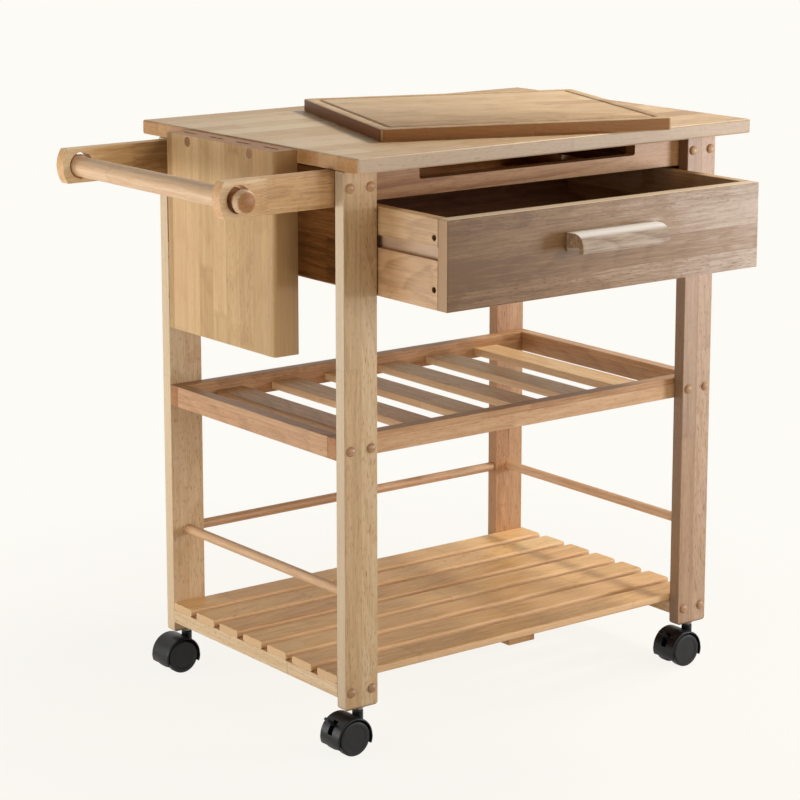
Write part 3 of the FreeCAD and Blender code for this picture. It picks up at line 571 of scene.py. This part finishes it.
def tube(grid: Array, normals: Array | None = None) -> Surface:
    """A closed tube through neighbouring closed loops, with a flat cap on each end.

    Each face joins two neighbours of one loop to the same two of the next. The faces look out where the
    loops turn forwards about the way in which they follow each other.

    Args:
        grid: Points by loop and by place in the loop.
        normals: The direction of each point's face, where it is known.

    Returns:
        The closed surface.
    """
    loops, points = grid.shape[:2]
    loop, place = np.meshgrid(np.arange(loops - 1) * points, np.arange(points), indexing="ij")
    after = (place + 1) % points
    quads = np.stack([loop + place, loop + after, loop + points + after, loop + points + place], -1)
    caps = [np.arange(points)[::-1], np.arange(points) + (loops - 1) * points]
    facing = None if normals is None else normals.reshape(-1, 3)
    return Surface(grid.reshape(-1, 3), quads.reshape(-1, 4), caps, facing)


def corner_ring(steps: int) -> tuple[Array, Array, Array]:
    """The points of a rounded rectangle: a quarter circle in each corner, one after the other.

    Args:
        steps: Facets in each quarter circle.

    Returns:
        The angle of each point, and its corner's side, 1 or -1, in both directions.
    """
    corner = np.repeat(np.arange(4), steps + 1)
    theta = (corner + np.tile(np.linspace(0, 1, steps + 1), 4)) * QUARTER
    return theta, np.where((corner == 0) | (corner == 3), 1.0, -1.0), np.where(corner < 2, 1.0, -1.0)


def eased_ends(steps: int) -> tuple[Array, Array]:
    """The loops of two eased ends: the angle of each, from -90 to 90 degrees, and its end, -1 or 1."""
    phi = np.concatenate([np.linspace(-QUARTER, 0, steps + 1), np.linspace(0, QUARTER, steps + 1)])
    return phi, np.repeat([-1.0, 1.0], steps + 1)


def eased_board(low: Array, high: Array, along: Axis, radius: float, foot: float = 0.0,
                ends: float | None = None, steps: int = 4) -> Surface:
    """A board with every edge eased.

    A rounded rectangle is carried along the grain. Round the section, each corner is a quarter circle of
    the easing radius. Near both ends the section shrinks along a quarter circle.

    Args:
        low: Lowest corner.
        high: Highest corner.
        along: Direction of the grain.
        radius: Easing radius of the edges along the grain.
        foot: Larger rounding of the low end, in the first direction across the grain.
        ends: Easing radius of the ends, the same as the other edges where none is given.
        steps: Facets in each quarter circle.

    Returns:
        The closed surface with exact normals.
    """
    half = ((high - low) / 2)[list(along.value)]
    theta, side_b, side_c = corner_ring(steps)
    phi, end = eased_ends(steps)
    ease = radius if ends is None else ends
    reach = np.where(end < 0, max(ease, foot), ease)
    shrink = np.where(end < 0, max(foot - ease, 0.0), 0.0) * (1 - np.cos(phi))
    place = end * (half[0] - reach) + reach * np.sin(phi)
    rise, level = np.sin(phi)[:, None], np.cos(phi)[:, None]
    corner_radius = radius - ease * (1 - level)
    wide = side_b * (half[1] - radius - shrink[:, None]) + corner_radius * np.cos(theta)
    tall = side_c * (half[2] - radius) + corner_radius * np.sin(theta)
    facing = stacked(rise, np.cos(theta) * level, np.sin(theta) * level)
    back = np.argsort(along.value)
    return tube(stacked(place[:, None], wide, tall)[..., back] + (low + high) / 2, facing[..., back])


def turned_piece(radii: Array, places: Array, along: Axis, middle: Array, points: int = 48) -> Surface:
    """A turned piece: a profile of radius against length, carried round its axis in equal steps.

    Args:
        radii: Radius at each profile point.
        places: Place of each profile point along the axis, rising.
        along: Direction of the axis.
        middle: Where the axis starts.
        points: Steps round the axis.

    Returns:
        The closed surface.
    """
    angle = np.arange(points) * 2 * math.pi / points
    grid = stacked(places[:, None], radii[:, None] * np.cos(angle), radii[:, None] * np.sin(angle))
    return tube(grid[..., np.argsort(along.value)] + middle)


def node_box(name: str) -> tuple[Array, Array]:
    """Lowest and highest corner of a solid as arrays."""
    low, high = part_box(name)
    return np.array(low), np.array(high)


def placed_in_scene(name: str, data: ID) -> Object:
    """Makes an object of a mesh, lamp or camera.

    Args:
        name: The object's name.
        data: What it shows.

    Returns:
        The object, at the origin of the scene.
    """
    thing = bpy.data.objects.new(name, data)
    bpy.context.scene.collection.objects.link(thing)
    return thing


def show(surface: Surface, name: str, body: str, slot: Slot, finish: Material, *nodes: str) -> None:
    """Makes a piece from a surface, in place of the named solids, if any.

    Args:
        surface: The piece's shape.
        name: The piece's name.
        body: What it rides on.
        slot: Not used.
        finish: Its material.
        nodes: The solids it stands for.
    """
    piece = placed_in_scene(name, surface.mesh(name))
    piece.data.materials.append(finish)
    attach(piece, body)
    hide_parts(*nodes)
    LOG.info("%s: %d faces for %s", name, len(piece.data.polygons), ", ".join(nodes))


@dataclass
class SubAssembly:
    """Pieces that are made together: the frame's solids, and the body, slot and edges of new pieces."""

    nodes: dict[str, Object]
    body: Body = Body.FRAME
    slot: Slot = Slot.WOOD
    edge: float = 1.5 * MM
    crisp: float = 0.8 * MM

    def dress(self, finish: Material, *names: str) -> None:
        """Gives solids their finish in every slot.

        Args:
            finish: The material.
            names: The solids' names.
        """
        for name in names:
            materials = self.nodes[name].data.materials
            materials.clear()
            materials.append(finish)
            LOG.info("%s: solid in %s", name, finish.name)

    def dress_wood(self, timber: Timber) -> None:
        """Gives its wood to the solid that a timber is named for."""
        self.dress(timber.material(), timber.name)

    def replace(self, surface: Surface, timber: Timber) -> None:
        """Makes a wooden piece of a surface, in place of the solid that its timber is named for."""
        show(surface, f"{timber.name}_wood", self.body.value, self.slot, timber.material(), timber.name)

    def board(self, timber: Timber, radius: float, foot: float = 0.0) -> None:
        """Replaces the solid that a timber is named for with an eased board, rounder at its foot."""
        self.replace(eased_board(*node_box(timber.name), timber.grain, radius, foot), timber)


@dataclass
class Boards(SubAssembly):
    """Plain boards of the frame: worktop, legs, aprons, rails, slats and bars."""

    top_edge: float = 3.0 * MM
    foot: float = 5.0 * MM
    bars: int = 6
    slats: int = 7
    slat_edge: float = 3.5 * MM
    strip: float = 49 * MM
    apron_seam_mm: float = 743.6

    def row(self, node: str, tone: Woods, grain: Axis, across: Axis, count: int, radius: float,
            seed: float) -> None:
        """Replaces a group of equal boards that lie side by side, evenly spaced over the group's box.

        Each board is a stave of the timber, and the staves' borders lie in the gaps.

        Args:
            node: The group's name.
            tone: Its colours.
            grain: Direction of the grain.
            across: Direction of the row.
            count: How many boards.
            radius: Easing of the edges along each board.
            seed: Which draw of the pattern.
        """
        low, high = node_box(node)
        axis = across.value[0]
        pitch = (high[axis] - self.strip - low[axis]) / (count - 1)
        border = low[axis] - (pitch - self.strip) / 2
        # The pale paint on the faces across the row is partly painted light
        timber = Timber(node, tone, grain, across, pitch / MM, -border / MM, seed, contrast=0.3,
                        streaks=0.6, figure=0.15, end_stain="#F2E6DC", ends=Paint("#D8B58C", 0.7),
                        sides=Paint("#E0B894", 0.5), specular=0.32)
        lows = np.tile(low, (count, 1))
        highs = np.tile(high, (count, 1))
        lows[:, axis] = np.linspace(low[axis], high[axis] - self.strip, count)
        highs[:, axis] = lows[:, axis] + self.strip
        boards = [eased_board(a, b, grain, radius, ends=self.crisp) for a, b in zip(lows, highs)]
        self.replace(joined(boards), timber)

    def build(self) -> None:
        """Builds every plain board of the frame."""
        # The worktop pales towards its left end along its slope: painted light
        self.board(Timber("worktop", Woods.CREAM, Axis.X, Axis.Y, 46.0, 12.0, seed=2.0, contrast=0.8,
                          slope=-0.8, middle_mm=250.0, end_stain="#EDD2B0", sides=Paint("#B49C82", 0.6),
                          specular=0.36), self.top_edge)
        tones = (Woods.CREAM, Woods.BLUSH, Woods.CREAM, Woods.ROSY)
        # Paints on each leg's side faces: the front-right leg's dark one is painted shade and the
        # front-left leg's pale grey one is painted light
        side_tones_and_shading = ("#D0C0A6", "#6E5132", "#DCC8A8", "#A0744A")
        for index, corner in enumerate(CORNERS):
            low, high = node_box(f"leg_{corner}")
            seam_mm = (low[0] + high[0]) / 2 / MM
            self.board(Timber(f"leg_{corner}", tones[index], Axis.Z, Axis.X, 60.0, -seam_mm,
                              seed=5.0 + index, segment_mm=600.0, contrast=0.3, streaks=0.5, fibres=0.7,
                              pores=1.4, sides=Paint(side_tones_and_shading[index], 0.5)), self.edge, self.foot)
        # The left apron's deep brown is painted shade
        for index, side in enumerate(("left", "right")):
            self.board(Timber(f"{side}_apron", (Woods.SHADE_UMBER, Woods.RUSSET)[index], Axis.Y, Axis.Z, 94.0,
                              -self.apron_seam_mm, seed=23.0 + 16.0 * index, contrast=(0.0, 0.4)[index],
                              specular=(0.0, 0.3)[index]), self.crisp)
            self.board(Timber(f"shelf_{side}_rail", Woods.CREAM, Axis.Y, Axis.X, 70.0, seed=15.0 + index),
                       self.crisp)
            self.board(Timber(f"rack_{side}_rail", Woods.ROSY, Axis.Y, Axis.Z, 90.0, seed=19.0 + index),
                       self.edge)
            self.board(Timber(f"{side}_runner", Woods.HONEY, Axis.Y, Axis.X, 80.0, seed=23.0 + index),
                       self.crisp)
        for index, side in enumerate(("front", "back")):
            self.board(Timber(f"rack_{side}_rail", Woods.ROSY, Axis.X, Axis.Z, 90.0, seed=27.0 + index,
                              specular=0.28), self.edge)
        self.board(Timber("back_panel", Woods.RUSSET, Axis.X, Axis.Z, 62.0, 8.0, seed=31.0), self.crisp)
        self.board(Timber("shelf_batten", Woods.HONEY, Axis.Y, Axis.X, 90.0, seed=33.0), self.crisp)
        self.row("rack_bars", Woods.AMBER, Axis.Y, Axis.X, self.bars, self.edge, seed=35.0)
        # The slats' bright ochre is partly painted light
        self.row("shelf_slats", Woods.OCHRE_AND_LIGHT, Axis.X, Axis.Y, self.slats, self.slat_edge, seed=37.0)


@dataclass
class Dowels(SubAssembly):
    """The guard dowels round the shelf, each turned from one length of wood."""

    length_mm: float = 2000.0

    def dowel(self, node: str, along: Axis, seed: float) -> None:
        """Replaces one guard dowel with a turned rod.

        Args:
            node: The solid's name.
            along: Direction of the dowel.
            seed: Which draw of the wood's pattern.
        """
        low, high = node_box(node)
        axis, across, _ = along.value
        radius = (high - low)[across] / 2
        start = (low + high) / 2
        start[axis] = low[axis]
        timber = Timber(node, Woods.PEACH, along, Axis.Z, 80.0, seed=seed, segment_mm=self.length_mm,
                        figure=0.06)
        ends = np.array([0.0, (high - low)[axis]])
        self.replace(turned_piece(np.array([radius, radius]), ends, along, start), timber)

    def build(self) -> None:
        """Builds the three dowels."""
        for index, (side, along) in enumerate((("left", Axis.Y), ("right", Axis.Y), ("back", Axis.X))):
            self.dowel(f"{side}_guard_dowel", along, 43.0 + index)


@dataclass
class TowelRod(SubAssembly):
    """The towel rod: a plain core with a journal in each arm's hole, a neck and a knob."""

    body: Body = Body.ROD
    knob_reach: float = 6 * MM
    knob_radius: float = 16.8 * MM
    knob_rim: float = 7 * MM
    knob_lean: float = 0.5
    knob_end: float = 14.5 * MM
    neck_start: float = 15.5 * MM
    neck: float = 10.5 * MM
    journal_start: float = 35 * MM
    journal: float = 17.5 * MM
    journal_end: float = 40 * MM
    rod_start: float = 42 * MM
    rod: float = 15 * MM
    pole: float = 0.02
    stave_mm: float = 90.0
    length_mm: float = 2000.0

    def build(self) -> None:
        """Builds the rod in place of its solid.

        The knob's cap is a parabola that meets a quarter circle, its rim, at the lean angle: there the
        place goes with the square of the radius, and on the rim radius and place go with sine and cosine.
        Behind the knob the profile goes straight from point to point, and the other half mirrors it.
        """
        low, high = node_box("towel_rod")
        length = high[1] - low[1] + 2 * self.knob_reach
        angle = np.linspace(self.knob_lean, QUARTER, 9)
        rim = self.knob_radius - self.knob_rim * (1 - np.sin(angle))
        cap = np.linspace(self.pole, 1, 6) * rim[0]
        cap_at = cap ** 2 * math.tan(self.knob_lean) / (2 * rim[0])
        rim_at = cap_at[-1] + self.knob_rim * (math.cos(self.knob_lean) - np.cos(angle))
        behind = [self.knob_radius, self.neck, self.neck, self.journal, self.journal, self.rod]
        behind_at = [self.knob_end, self.neck_start, self.journal_start, self.journal_start,
                     self.journal_end, self.rod_start]
        near = np.concatenate([cap, rim[1:], behind])
        near_at = np.concatenate([cap_at, rim_at[1:], behind_at])
        radii = np.concatenate([near, near[::-1]])
        places = np.concatenate([near_at, length - near_at[::-1]])
        start = (low + high) / 2
        start[1] = low[1] - self.knob_reach
        timber = Timber("towel_rod", Woods.PEACH, Axis.Y, Axis.X, self.stave_mm,
                        self.stave_mm / 2 - start[0] / MM, seed=41.0, segment_mm=self.length_mm,
                        end_stain="#C8A680")
        self.replace(turned_piece(radii, places, Axis.Y, start), timber)


@dataclass
class Buttons(SubAssembly):
    """The button plugs on the legs' outer faces."""

    slot: Slot = Slot.PLUG
    radius: float = 7.25 * MM
    dome: float = 4.5 * MM
    inset: float = 11 * MM
    heights: tuple[float, ...] = (91 * MM, 444 * MM, 814.75 * MM)
    sunk: float = 1 * MM
    pole: float = 0.02

    def build(self) -> None:
        """Builds the plugs as domes in place of their solids.

        Each dome is a quarter ellipse carried round its axis, and its rim goes a little into the leg.
        """
        angle = np.linspace(self.pole, QUARTER, 8)
        radii = np.concatenate([self.radius * np.sin(angle), [self.radius]])
        out = np.concatenate([self.dome * np.cos(angle), [-self.sunk]])
        domes = []
        for corner in CORNERS:
            low, high = node_box(f"leg_{corner}")
            front = corner.startswith("front")
            profile = (radii, -out) if front else (radii[::-1], out[::-1])
            face = low[1] if front else high[1]
            for x in (low[0] + self.inset, high[0] - self.inset):
                domes += [turned_piece(*profile, Axis.Y, np.array([x, face, z]), 32) for z in self.heights]
        timber = Timber("button_plugs", Woods.BUTTON, Axis.X, Axis.Z, 120.0, seed=47.0, figure=0.05,
                        roughness=0.38, specular=0.5)
        self.replace(joined(domes), timber)


@dataclass
class Drawer(SubAssembly):
    """The drawer: face board, grooved sides, box and finger pull."""

    body: Body = Body.DRAWER
    strip: float = 0.29
    first_strip: float = 0.06
    clearance: float = 0.3 * MM
    pull_ease: float = 0.6 * MM
    pull_round: float = 18.5 * MM
    pull_lip: float = 10 * MM
    pull_wall: float = 2 * MM
    pull_seam_mm: float = 700.0
    recess_back: float = 4 * MM
    recess_front: float = 8 * MM
    recess_round: float = 1.5 * MM
    steps: int = 6

    def pull(self) -> Surface:
        """Works out the finger pull: a section carried along the drawer front, with eased ends.

        The section is a ring of arcs joined by straight runs. Its outer corners are arcs about points in
        the wood. The two corners of the finger recess are arcs about points in the recess, whose ceiling
        rises towards the lip. Near both ends the section draws in along its normals by a quarter circle.

        Returns:
            The closed surface with exact normals.
        """
        low, high = node_box("drawer_pull")
        length, reach, tall = high - low
        crisp, hollow = self.crisp, self.recess_round
        inner = reach - self.pull_lip
        slope = math.atan2(self.recess_front - self.recess_back, inner - self.pull_wall - 2 * hollow)
        # Each arc: centre outwards and upwards, radius, first and last angle, and 1 or -1 for its facing
        arcs = np.array([
            (crisp, crisp, crisp, 2 * QUARTER, 3 * QUARTER, 1),
            (self.pull_wall - crisp, crisp, crisp, 3 * QUARTER, 4 * QUARTER, 1),
            (self.pull_wall + hollow, self.recess_back - hollow, hollow, 2 * QUARTER, QUARTER + slope, -1),
            (inner - hollow, self.recess_front - hollow, hollow, QUARTER + slope, 0, -1),
            (inner + crisp, crisp, crisp, 2 * QUARTER, 3 * QUARTER, 1),
            (reach - crisp, crisp, crisp, 3 * QUARTER, 4 * QUARTER, 1),
            (reach - self.pull_round, tall - self.pull_round, self.pull_round, 0, QUARTER, 1),
            (crisp, tall - crisp, crisp, QUARTER, 2 * QUARTER, 1),
        ])[:, :, None]
        angle = arcs[:, 3] + (arcs[:, 4] - arcs[:, 3]) * np.linspace(0, 1, self.steps + 1)
        circle = np.stack([np.cos(angle), np.sin(angle)], -1)
        section = (arcs[:, 0:2, 0][:, None] + arcs[:, 2, :, None] * circle).reshape(-1, 2)
        normal = (arcs[:, 5, :, None] * circle).reshape(-1, 2)
        phi, end = eased_ends(self.steps - 1)
        place = end * (length / 2 - self.pull_ease) + self.pull_ease * np.sin(phi)
        drawn = section - normal * (self.pull_ease * (1 - np.cos(phi)))[:, None, None]
        facing = normal * np.cos(phi)[:, None, None]
        root = np.array([(low[0] + high[0]) / 2, high[1], low[2]])
        return tube(stacked(-place[:, None], -drawn[..., 0], drawn[..., 1]) + root,
                    stacked(-np.sin(phi)[:, None], -facing[..., 0], facing[..., 1]))

    def build(self) -> None:
        """Builds the drawer's boards and pull, and dresses its solids."""
        low, high = node_box("drawer_front")
        tall_mm = (high[2] - low[2]) / MM
        # The drawer front pales towards its right end along its slope, a painted gradient of light, and the
        # pale paint on its top and bottom faces is painted light
        self.board(Timber("drawer_front", Woods.GREY, Axis.X, Axis.Z, self.strip * tall_mm,
                          self.first_strip * tall_mm - low[2] / MM, seed=51.0, segment_mm=900.0,
                          contrast=0.35, fibres=1.1, figure=0.16, pores=2.4, slope=1.3,
                          middle_mm=(low[0] + high[0]) / 2 / MM, blush=0.15, ends=Paint("#B48D63", 0.85),
                          sides=Paint("#E3C9A6", 0.8), specular=0.36), self.edge)
        # The drawer box takes the dark red-brown, partly painted shade
        for node in ("drawer_box_front", "drawer_back"):
            self.board(Timber(node, Woods.RED_AND_SHADE, Axis.X, Axis.Z, 60.0, seed=53.0), self.crisp)
        self.board(Timber("drawer_bottom", Woods.RED_AND_SHADE, Axis.X, Axis.Y, 160.0, seed=55.0), self.crisp)
        for index, side in enumerate(("left", "right")):
            runner_low, runner_high = node_box(f"{side}_runner")
            floor_at = (runner_high[0] + self.clearance, runner_low[0] - self.clearance)[index]
            self.dress_wood(Timber(f"drawer_{side}_side", Woods.CREAM, Axis.Y, Axis.Z, 62.0, 3.0,
                                   seed=57.0 + index, figure=0.35, blush=0.6, floor_mm=floor_at / MM,
                                   floor=Paint("#C4A68C", 0.6)))
        # The pull's near-white paint on the faces that look up and down is a painted highlight, and its
        # pale tone is partly painted reflection
        wood = Timber("drawer_pull", Woods.ASH_AND_SHEEN, Axis.X, Axis.Z, 80.0, -self.pull_seam_mm, seed=59.0,
                      segment_mm=900.0, streaks=1.4, fibres=1.7, figure=0.4, pores=2.0, end_stain="#F0DCC4",
                      sides=Paint("#FFFAF2", 0.8), roughness=0.72, specular=0.3)
        self.replace(self.pull(), wood)
        self.dress(Steel("sunk_screw", "#1E1B18", "#3A3530", 0.55).material(), "drawer_screws")


@dataclass
class Fittings(SubAssembly):
    """What is fixed to the frame: knife block, towel arms, board rails, slotted apron, plugs and screws."""

    arm_seam_mm: float = 770.0

    def build(self) -> None:
        """Dresses the fittings' solids."""
        # On the knife block, the paint on the front and back faces is painted shade, and the dark paint on
        # the top and bottom end grain is partly end grain, partly painted shade of the knives
        self.dress_wood(Timber("knife_block", Woods.HONEY, Axis.Z, Axis.Y, 35.0, 4.0, seed=61.0,
                               contrast=0.4, streaks=0.6, fibres=0.5, drift=0.1, figure=0.12,
                               end_stain="#E2C092", ends=Paint("#8A5820", 0.6),
                               sides=Paint("#C79A68", 0.5), specular=0.25))
        for index, (arm, rail) in enumerate((("front", "left"), ("back", "right"))):
            low, high = node_box(f"towel_arm_{arm}")
            # Each arm darkens towards the leg along its slope: painted shade
            self.dress_wood(Timber(f"towel_arm_{arm}", Woods.AMBER, Axis.X, Axis.Z, 80.0, -self.arm_seam_mm,
                                   seed=63.0 + index, segment_mm=130.0, slope=-4.2,
                                   middle_mm=(low[0] + high[0]) / 2 / MM))
            # The board rails take the dark red-brown, partly painted shade
            self.dress_wood(Timber(f"{rail}_board_rail", Woods.RED_AND_SHADE, Axis.Y, Axis.X, 60.0, seed=67.0 + index,
                                   specular=0.1))
        # The front apron pales towards its right end along its slope: painted light
        self.dress_wood(Timber("front_apron", Woods.RUSSET, Axis.X, Axis.Z, 70.0, seed=71.0, figure=0.4,
                               slope=0.8))
        self.dress_wood(Timber("block_plugs", Woods.TAN, Axis.X, Axis.Z, 120.0, seed=75.0))
        self.dress(Steel("sleeve", "#5C5A56", "#8E8C87", 0.4).material(), "frame_screws", "caster_sleeves")


@dataclass
class CuttingBoard(SubAssembly):
    """The loose cutting board with a groove round its top."""

    body: Body = Body.BOARD
    slot: Slot = Slot.BOARD
    edge: float = 2 * MM
    length: float = 450 * MM
    width: float = 400 * MM
    turn_deg: float = -19.3
    groove_inset: float = 15 * MM
    groove_width: float = 9 * MM
    groove_depth: float = 4 * MM
    corner_insets: tuple[float, ...] = (0.0, 2 * MM, 15 * MM, 24 * MM)
    corner_radii: tuple[float, ...] = (7 * MM, 5 * MM, 8 * MM, 3 * MM)
    steps: int = 6

    def surface(self, middle: Array, thickness: float) -> Surface:
        """Works out the board as nested rounded rectangles.

        A path of inset and height goes up the eased side, over the edge, across the rim and down and up the
        groove, one wave of a cosine. At each of its points a rounded rectangle goes round the board.

        Args:
            middle: Middle of the board's underside.
            thickness: The board's thickness.

        Returns:
            The closed surface.
        """
        arc = np.linspace(0, QUARTER, self.steps)
        wave = np.linspace(0, 1, 2 * self.steps)
        inset = np.concatenate([self.edge * (1 - np.sin(arc)), self.edge * (1 - np.cos(arc)),
                                self.groove_inset + self.groove_width * wave])[:, None]
        height = np.concatenate([self.edge * (1 - np.cos(arc)), thickness - self.edge * (1 - np.sin(arc)),
                                 thickness - self.groove_depth / 2 * (1 - np.cos(2 * math.pi * wave))])
        radius = np.interp(inset, self.corner_insets, self.corner_radii)
        theta, side_x, side_y = corner_ring(self.steps)
        x = side_x * (self.length / 2 - inset - radius) + radius * np.cos(theta)
        y = side_y * (self.width / 2 - inset - radius) + radius * np.sin(theta)
        turn = math.radians(self.turn_deg)
        ahead, aside = math.cos(turn), math.sin(turn)
        return tube(stacked(x * ahead - y * aside, x * aside + y * ahead, height[:, None]) + middle)

    def build(self) -> None:
        """Builds the board in place of its solid."""
        low, high = node_box("cutting_board")
        middle = (low + high) / 2
        middle[2] = low[2]
        # The dark paint on the board's ends and sides is painted shade
        timber = Timber("cutting_board", Woods.BOARD, Axis.X, Axis.Y, 42.0, seed=73.0,
                        turn_deg=self.turn_deg, end_stain="#D2A878", ends=Paint("#7A4410", 0.9),
                        sides=Paint("#905A2A", 0.8), facing_from=0.82, specular=0.15)
        self.replace(self.surface(middle, high[2] - low[2]), timber)


@dataclass
class Casters(SubAssembly):
    """The four twin-wheel casters."""

    slot: Slot = Slot.PLASTIC
    places: tuple[str, ...] = ("front_left", "back_left", "front_right", "back_right")
    axle_height: float = 26 * MM
    wall: float = 2.5 * MM
    skirt_deg: float = 23.0
    skirt_ease: float = 1.2 * MM
    sunk: float = 0.05 * MM
    steps: int = 4

    def skirt(self, axle: Array, radius: float, width: float, side: int) -> Surface:
        """The hood's wall below the axle, on one side.

        A rounded rectangle, as thick as the wall and as wide as the hood, is carried down an arc about the
        axle. At the low end it shrinks along a quarter circle. On the other side its points go round
        backwards, so that the faces look out there too.

        Args:
            axle: Middle of the axle.
            radius: Outer radius of the hood.
            width: Width of the hood.
            side: 1 for the side towards the stem, -1 for the other.

        Returns:
            The closed surface.
        """
        theta, side_b, side_c = corner_ring(self.steps)
        phi = np.linspace(0, QUARTER, self.steps + 1)[1:]
        arc = np.linspace(0, math.radians(self.skirt_deg) - self.skirt_ease / radius, 2 * self.steps)
        angle = np.concatenate([arc, arc[-1] + self.skirt_ease / radius * np.sin(phi)])[:, None]
        ease = self.skirt_ease * np.concatenate([np.ones(len(arc)), np.cos(phi)])[:, None]
        inset = self.sunk + self.skirt_ease
        outward = radius - self.wall / 2 + side_b * (self.wall / 2 - inset) + ease * np.cos(theta)
        across = side_c * (width / 2 - inset) + ease * np.sin(theta)
        grid = stacked(side * outward * np.cos(angle), -across, -outward * np.sin(angle)) + axle
        return tube(grid[:, ::side])

    def build(self) -> None:
        """Dresses the casters' solids and hangs the skirts on their hoods."""
        hood = Plastic("hood", "#0D0D0F", "#151518", 0.34, 0.25).material()
        wheel = Plastic("wheel", "#171716", "#21201F", 0.48).material()
        stem = Steel("stem", "#55534F", "#8C8A85", 0.35).material()
        for corner in self.places:
            self.dress(hood, f"caster_hood_{corner}")
            self.dress(wheel, f"caster_wheels_{corner}")
            self.dress(stem, f"caster_stem_{corner}", f"caster_axle_{corner}")
            low, high = node_box(f"caster_hood_{corner}")
            axle = (low + high) / 2
            axle[2] = self.axle_height
            size = high - low
            skirts = joined([self.skirt(axle, size[0] / 2, size[1], side) for side in (-1, 1)])
            show(skirts, f"caster_skirts_{corner}", f"caster_{corner}", self.slot, hood)
        self.dress(hood, "brake_lever_front_left", "brake_lever_front_right")


@dataclass(frozen=True)
class Softbox:
    """A square lamp: where it hangs, what it points at, its side, its power in watts and its tint."""

    name: str
    place: Point
    aim: Point
    side: float
    watts: float
    tint: str

    def hang(self) -> None:
        """Puts the lamp into the scene."""
        light = bpy.data.lights.new(self.name, "AREA")
        light.size = self.side
        light.energy = self.watts
        light.color = linear(self.tint)[:3]
        lamp = placed_in_scene(self.name, light)
        lamp.location = self.place
        lamp.rotation_euler = (Vector(self.aim) - Vector(self.place)).to_track_quat("-Z", "Y").to_euler()


@dataclass
class Studio:
    """A pale floor, five soft lamps and the camera."""

    eye: Point = (-2.3330, -2.9927, 1.3401)
    azimuth_deg: float = -37.28
    elevation_deg: float = 10.99
    lens: float = 116.48
    sensor: float = 36.0
    shift_y: float = -0.125
    sight: float = 50.0
    paper: str = "#FDFBF5"
    floor_grey: str = "#D8D5CE"
    floor_half: float = 14.0
    floor_drop: float = 0.4 * MM
    shadow: float = 0.09
    shadow_near: float = 0.55
    shadow_far: float = 1.3
    room: str = "#F4F1EA"
    fill: float = 0.14
    lamps: tuple[Softbox, ...] = (
        Softbox("left_softbox", (-2.1, -0.35, 0.4), (0.0, 0.0, 0.4), 1.1, 16.0, "#FDFEFF"),
        Softbox("rear_softbox", (-1.6, 0.95, 0.35), (0.0, 0.0, 0.4), 0.9, 13.0, "#FFFFFF"),
        Softbox("front_softbox", (0.45, -2.4, 1.15), (0.0, -0.1, 0.5), 1.2, 15.0, "#FFF8EE"),
        Softbox("right_softbox", (1.85, -1.6, 0.65), (0.2, -0.2, 0.6), 0.6, 29.5, "#EEF4FF"),
        Softbox("top_lamp", (1.3, -0.05, 2.1), (0.0, 0.1, 0.86), 0.4, 26.0, "#FFFBF4"),
    )

    def seen(self, tree: NodeTree) -> Node:
        """Tells rays of the eye, of mirrors and of glass from rays of light.

        Args:
            tree: The node tree that asks.

        Returns:
            A node that gives 1 where the paper is looked at.
        """
        rays = add(tree, "LightPath").outputs
        mirrored = add(tree, "Math MAXIMUM", [rays["Is Glossy Ray"], rays["Is Transmission Ray"]])
        return add(tree, "Math MAXIMUM", [rays["Is Camera Ray"], mirrored])

    def floor(self) -> None:
        """Lays a pale floor that shows as plain paper to the eye and still takes the cart's shadow."""
        half, low = self.floor_half, -self.floor_drop
        mesh = bpy.data.meshes.new("floor")
        corners = [(-half, -half, low), (half, -half, low), (half, half, low), (-half, half, low)]
        mesh.from_pydata(corners, [], [(0, 1, 2, 3)])
        material, tree = blank("matt_paper")
        place = add(tree, "TexCoord").outputs["Object"]
        distance = add(tree, "VectorMath LENGTH", [place]).outputs["Value"]
        share = add(tree, "MapRange", [distance, self.shadow_near, self.shadow_far, self.shadow, 0.0],
                    interpolation_type="SMOOTHSTEP")
        matt = add(tree, "BsdfDiffuse", {"Color": linear(self.floor_grey)})
        glow = add(tree, "Emission", {"Color": linear(self.paper), "Strength": 1.0})
        lit = add(tree, "BsdfDiffuse", {"Color": linear(self.paper)})
        paper = add(tree, "MixShader", [share, glow, lit])
        both = add(tree, "MixShader", [self.seen(tree), matt, paper])
        add(tree, "OutputMaterial", {"Surface": both})
        mesh.materials.append(material)
        placed_in_scene("floor", mesh)

    def world(self) -> None:
        """Fills the room with even light, and shows plain paper to the eye."""
        world = bpy.data.worlds.new("studio")
        bpy.context.scene.world = world
        world.use_nodes = True
        tree = world.node_tree
        tree.nodes.clear()
        fill = add(tree, "Background", {"Color": linear(self.room), "Strength": self.fill})
        glow = add(tree, "Background", {"Color": linear(self.paper), "Strength": 1.0})
        both = add(tree, "MixShader", [self.seen(tree), fill, glow])
        add(tree, "OutputWorld", {"Surface": both})

    def camera(self) -> None:
        """Sets the camera at the photograph's view."""
        data = bpy.data.cameras.new("camera")
        data.lens = self.lens
        data.sensor_width = self.sensor
        data.shift_y = self.shift_y
        data.clip_end = self.sight
        camera = placed_in_scene("camera", data)
        camera.location = self.eye
        camera.rotation_euler = (math.radians(90 - self.elevation_deg), 0.0, math.radians(self.azimuth_deg))
        bpy.context.scene.camera = camera

    def build(self) -> None:
        """Builds the whole studio."""
        self.floor()
        self.world()
        for lamp in self.lamps:
            lamp.hang()
        self.camera()
        bpy.context.scene.view_settings.view_transform = "Standard"


def main() -> None:
    """Builds the dressed cart and its studio."""
    logging.basicConfig(level=logging.INFO, format="%(name)s: %(message)s")
    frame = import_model()
    for assembly in (Boards, Dowels, TowelRod, Buttons, Drawer, Fittings, CuttingBoard, Casters):
        assembly(frame["nodes"]).build()
    Studio().build()
    LOG.info("cart dressed")


if __name__ == "__main__":
    main()
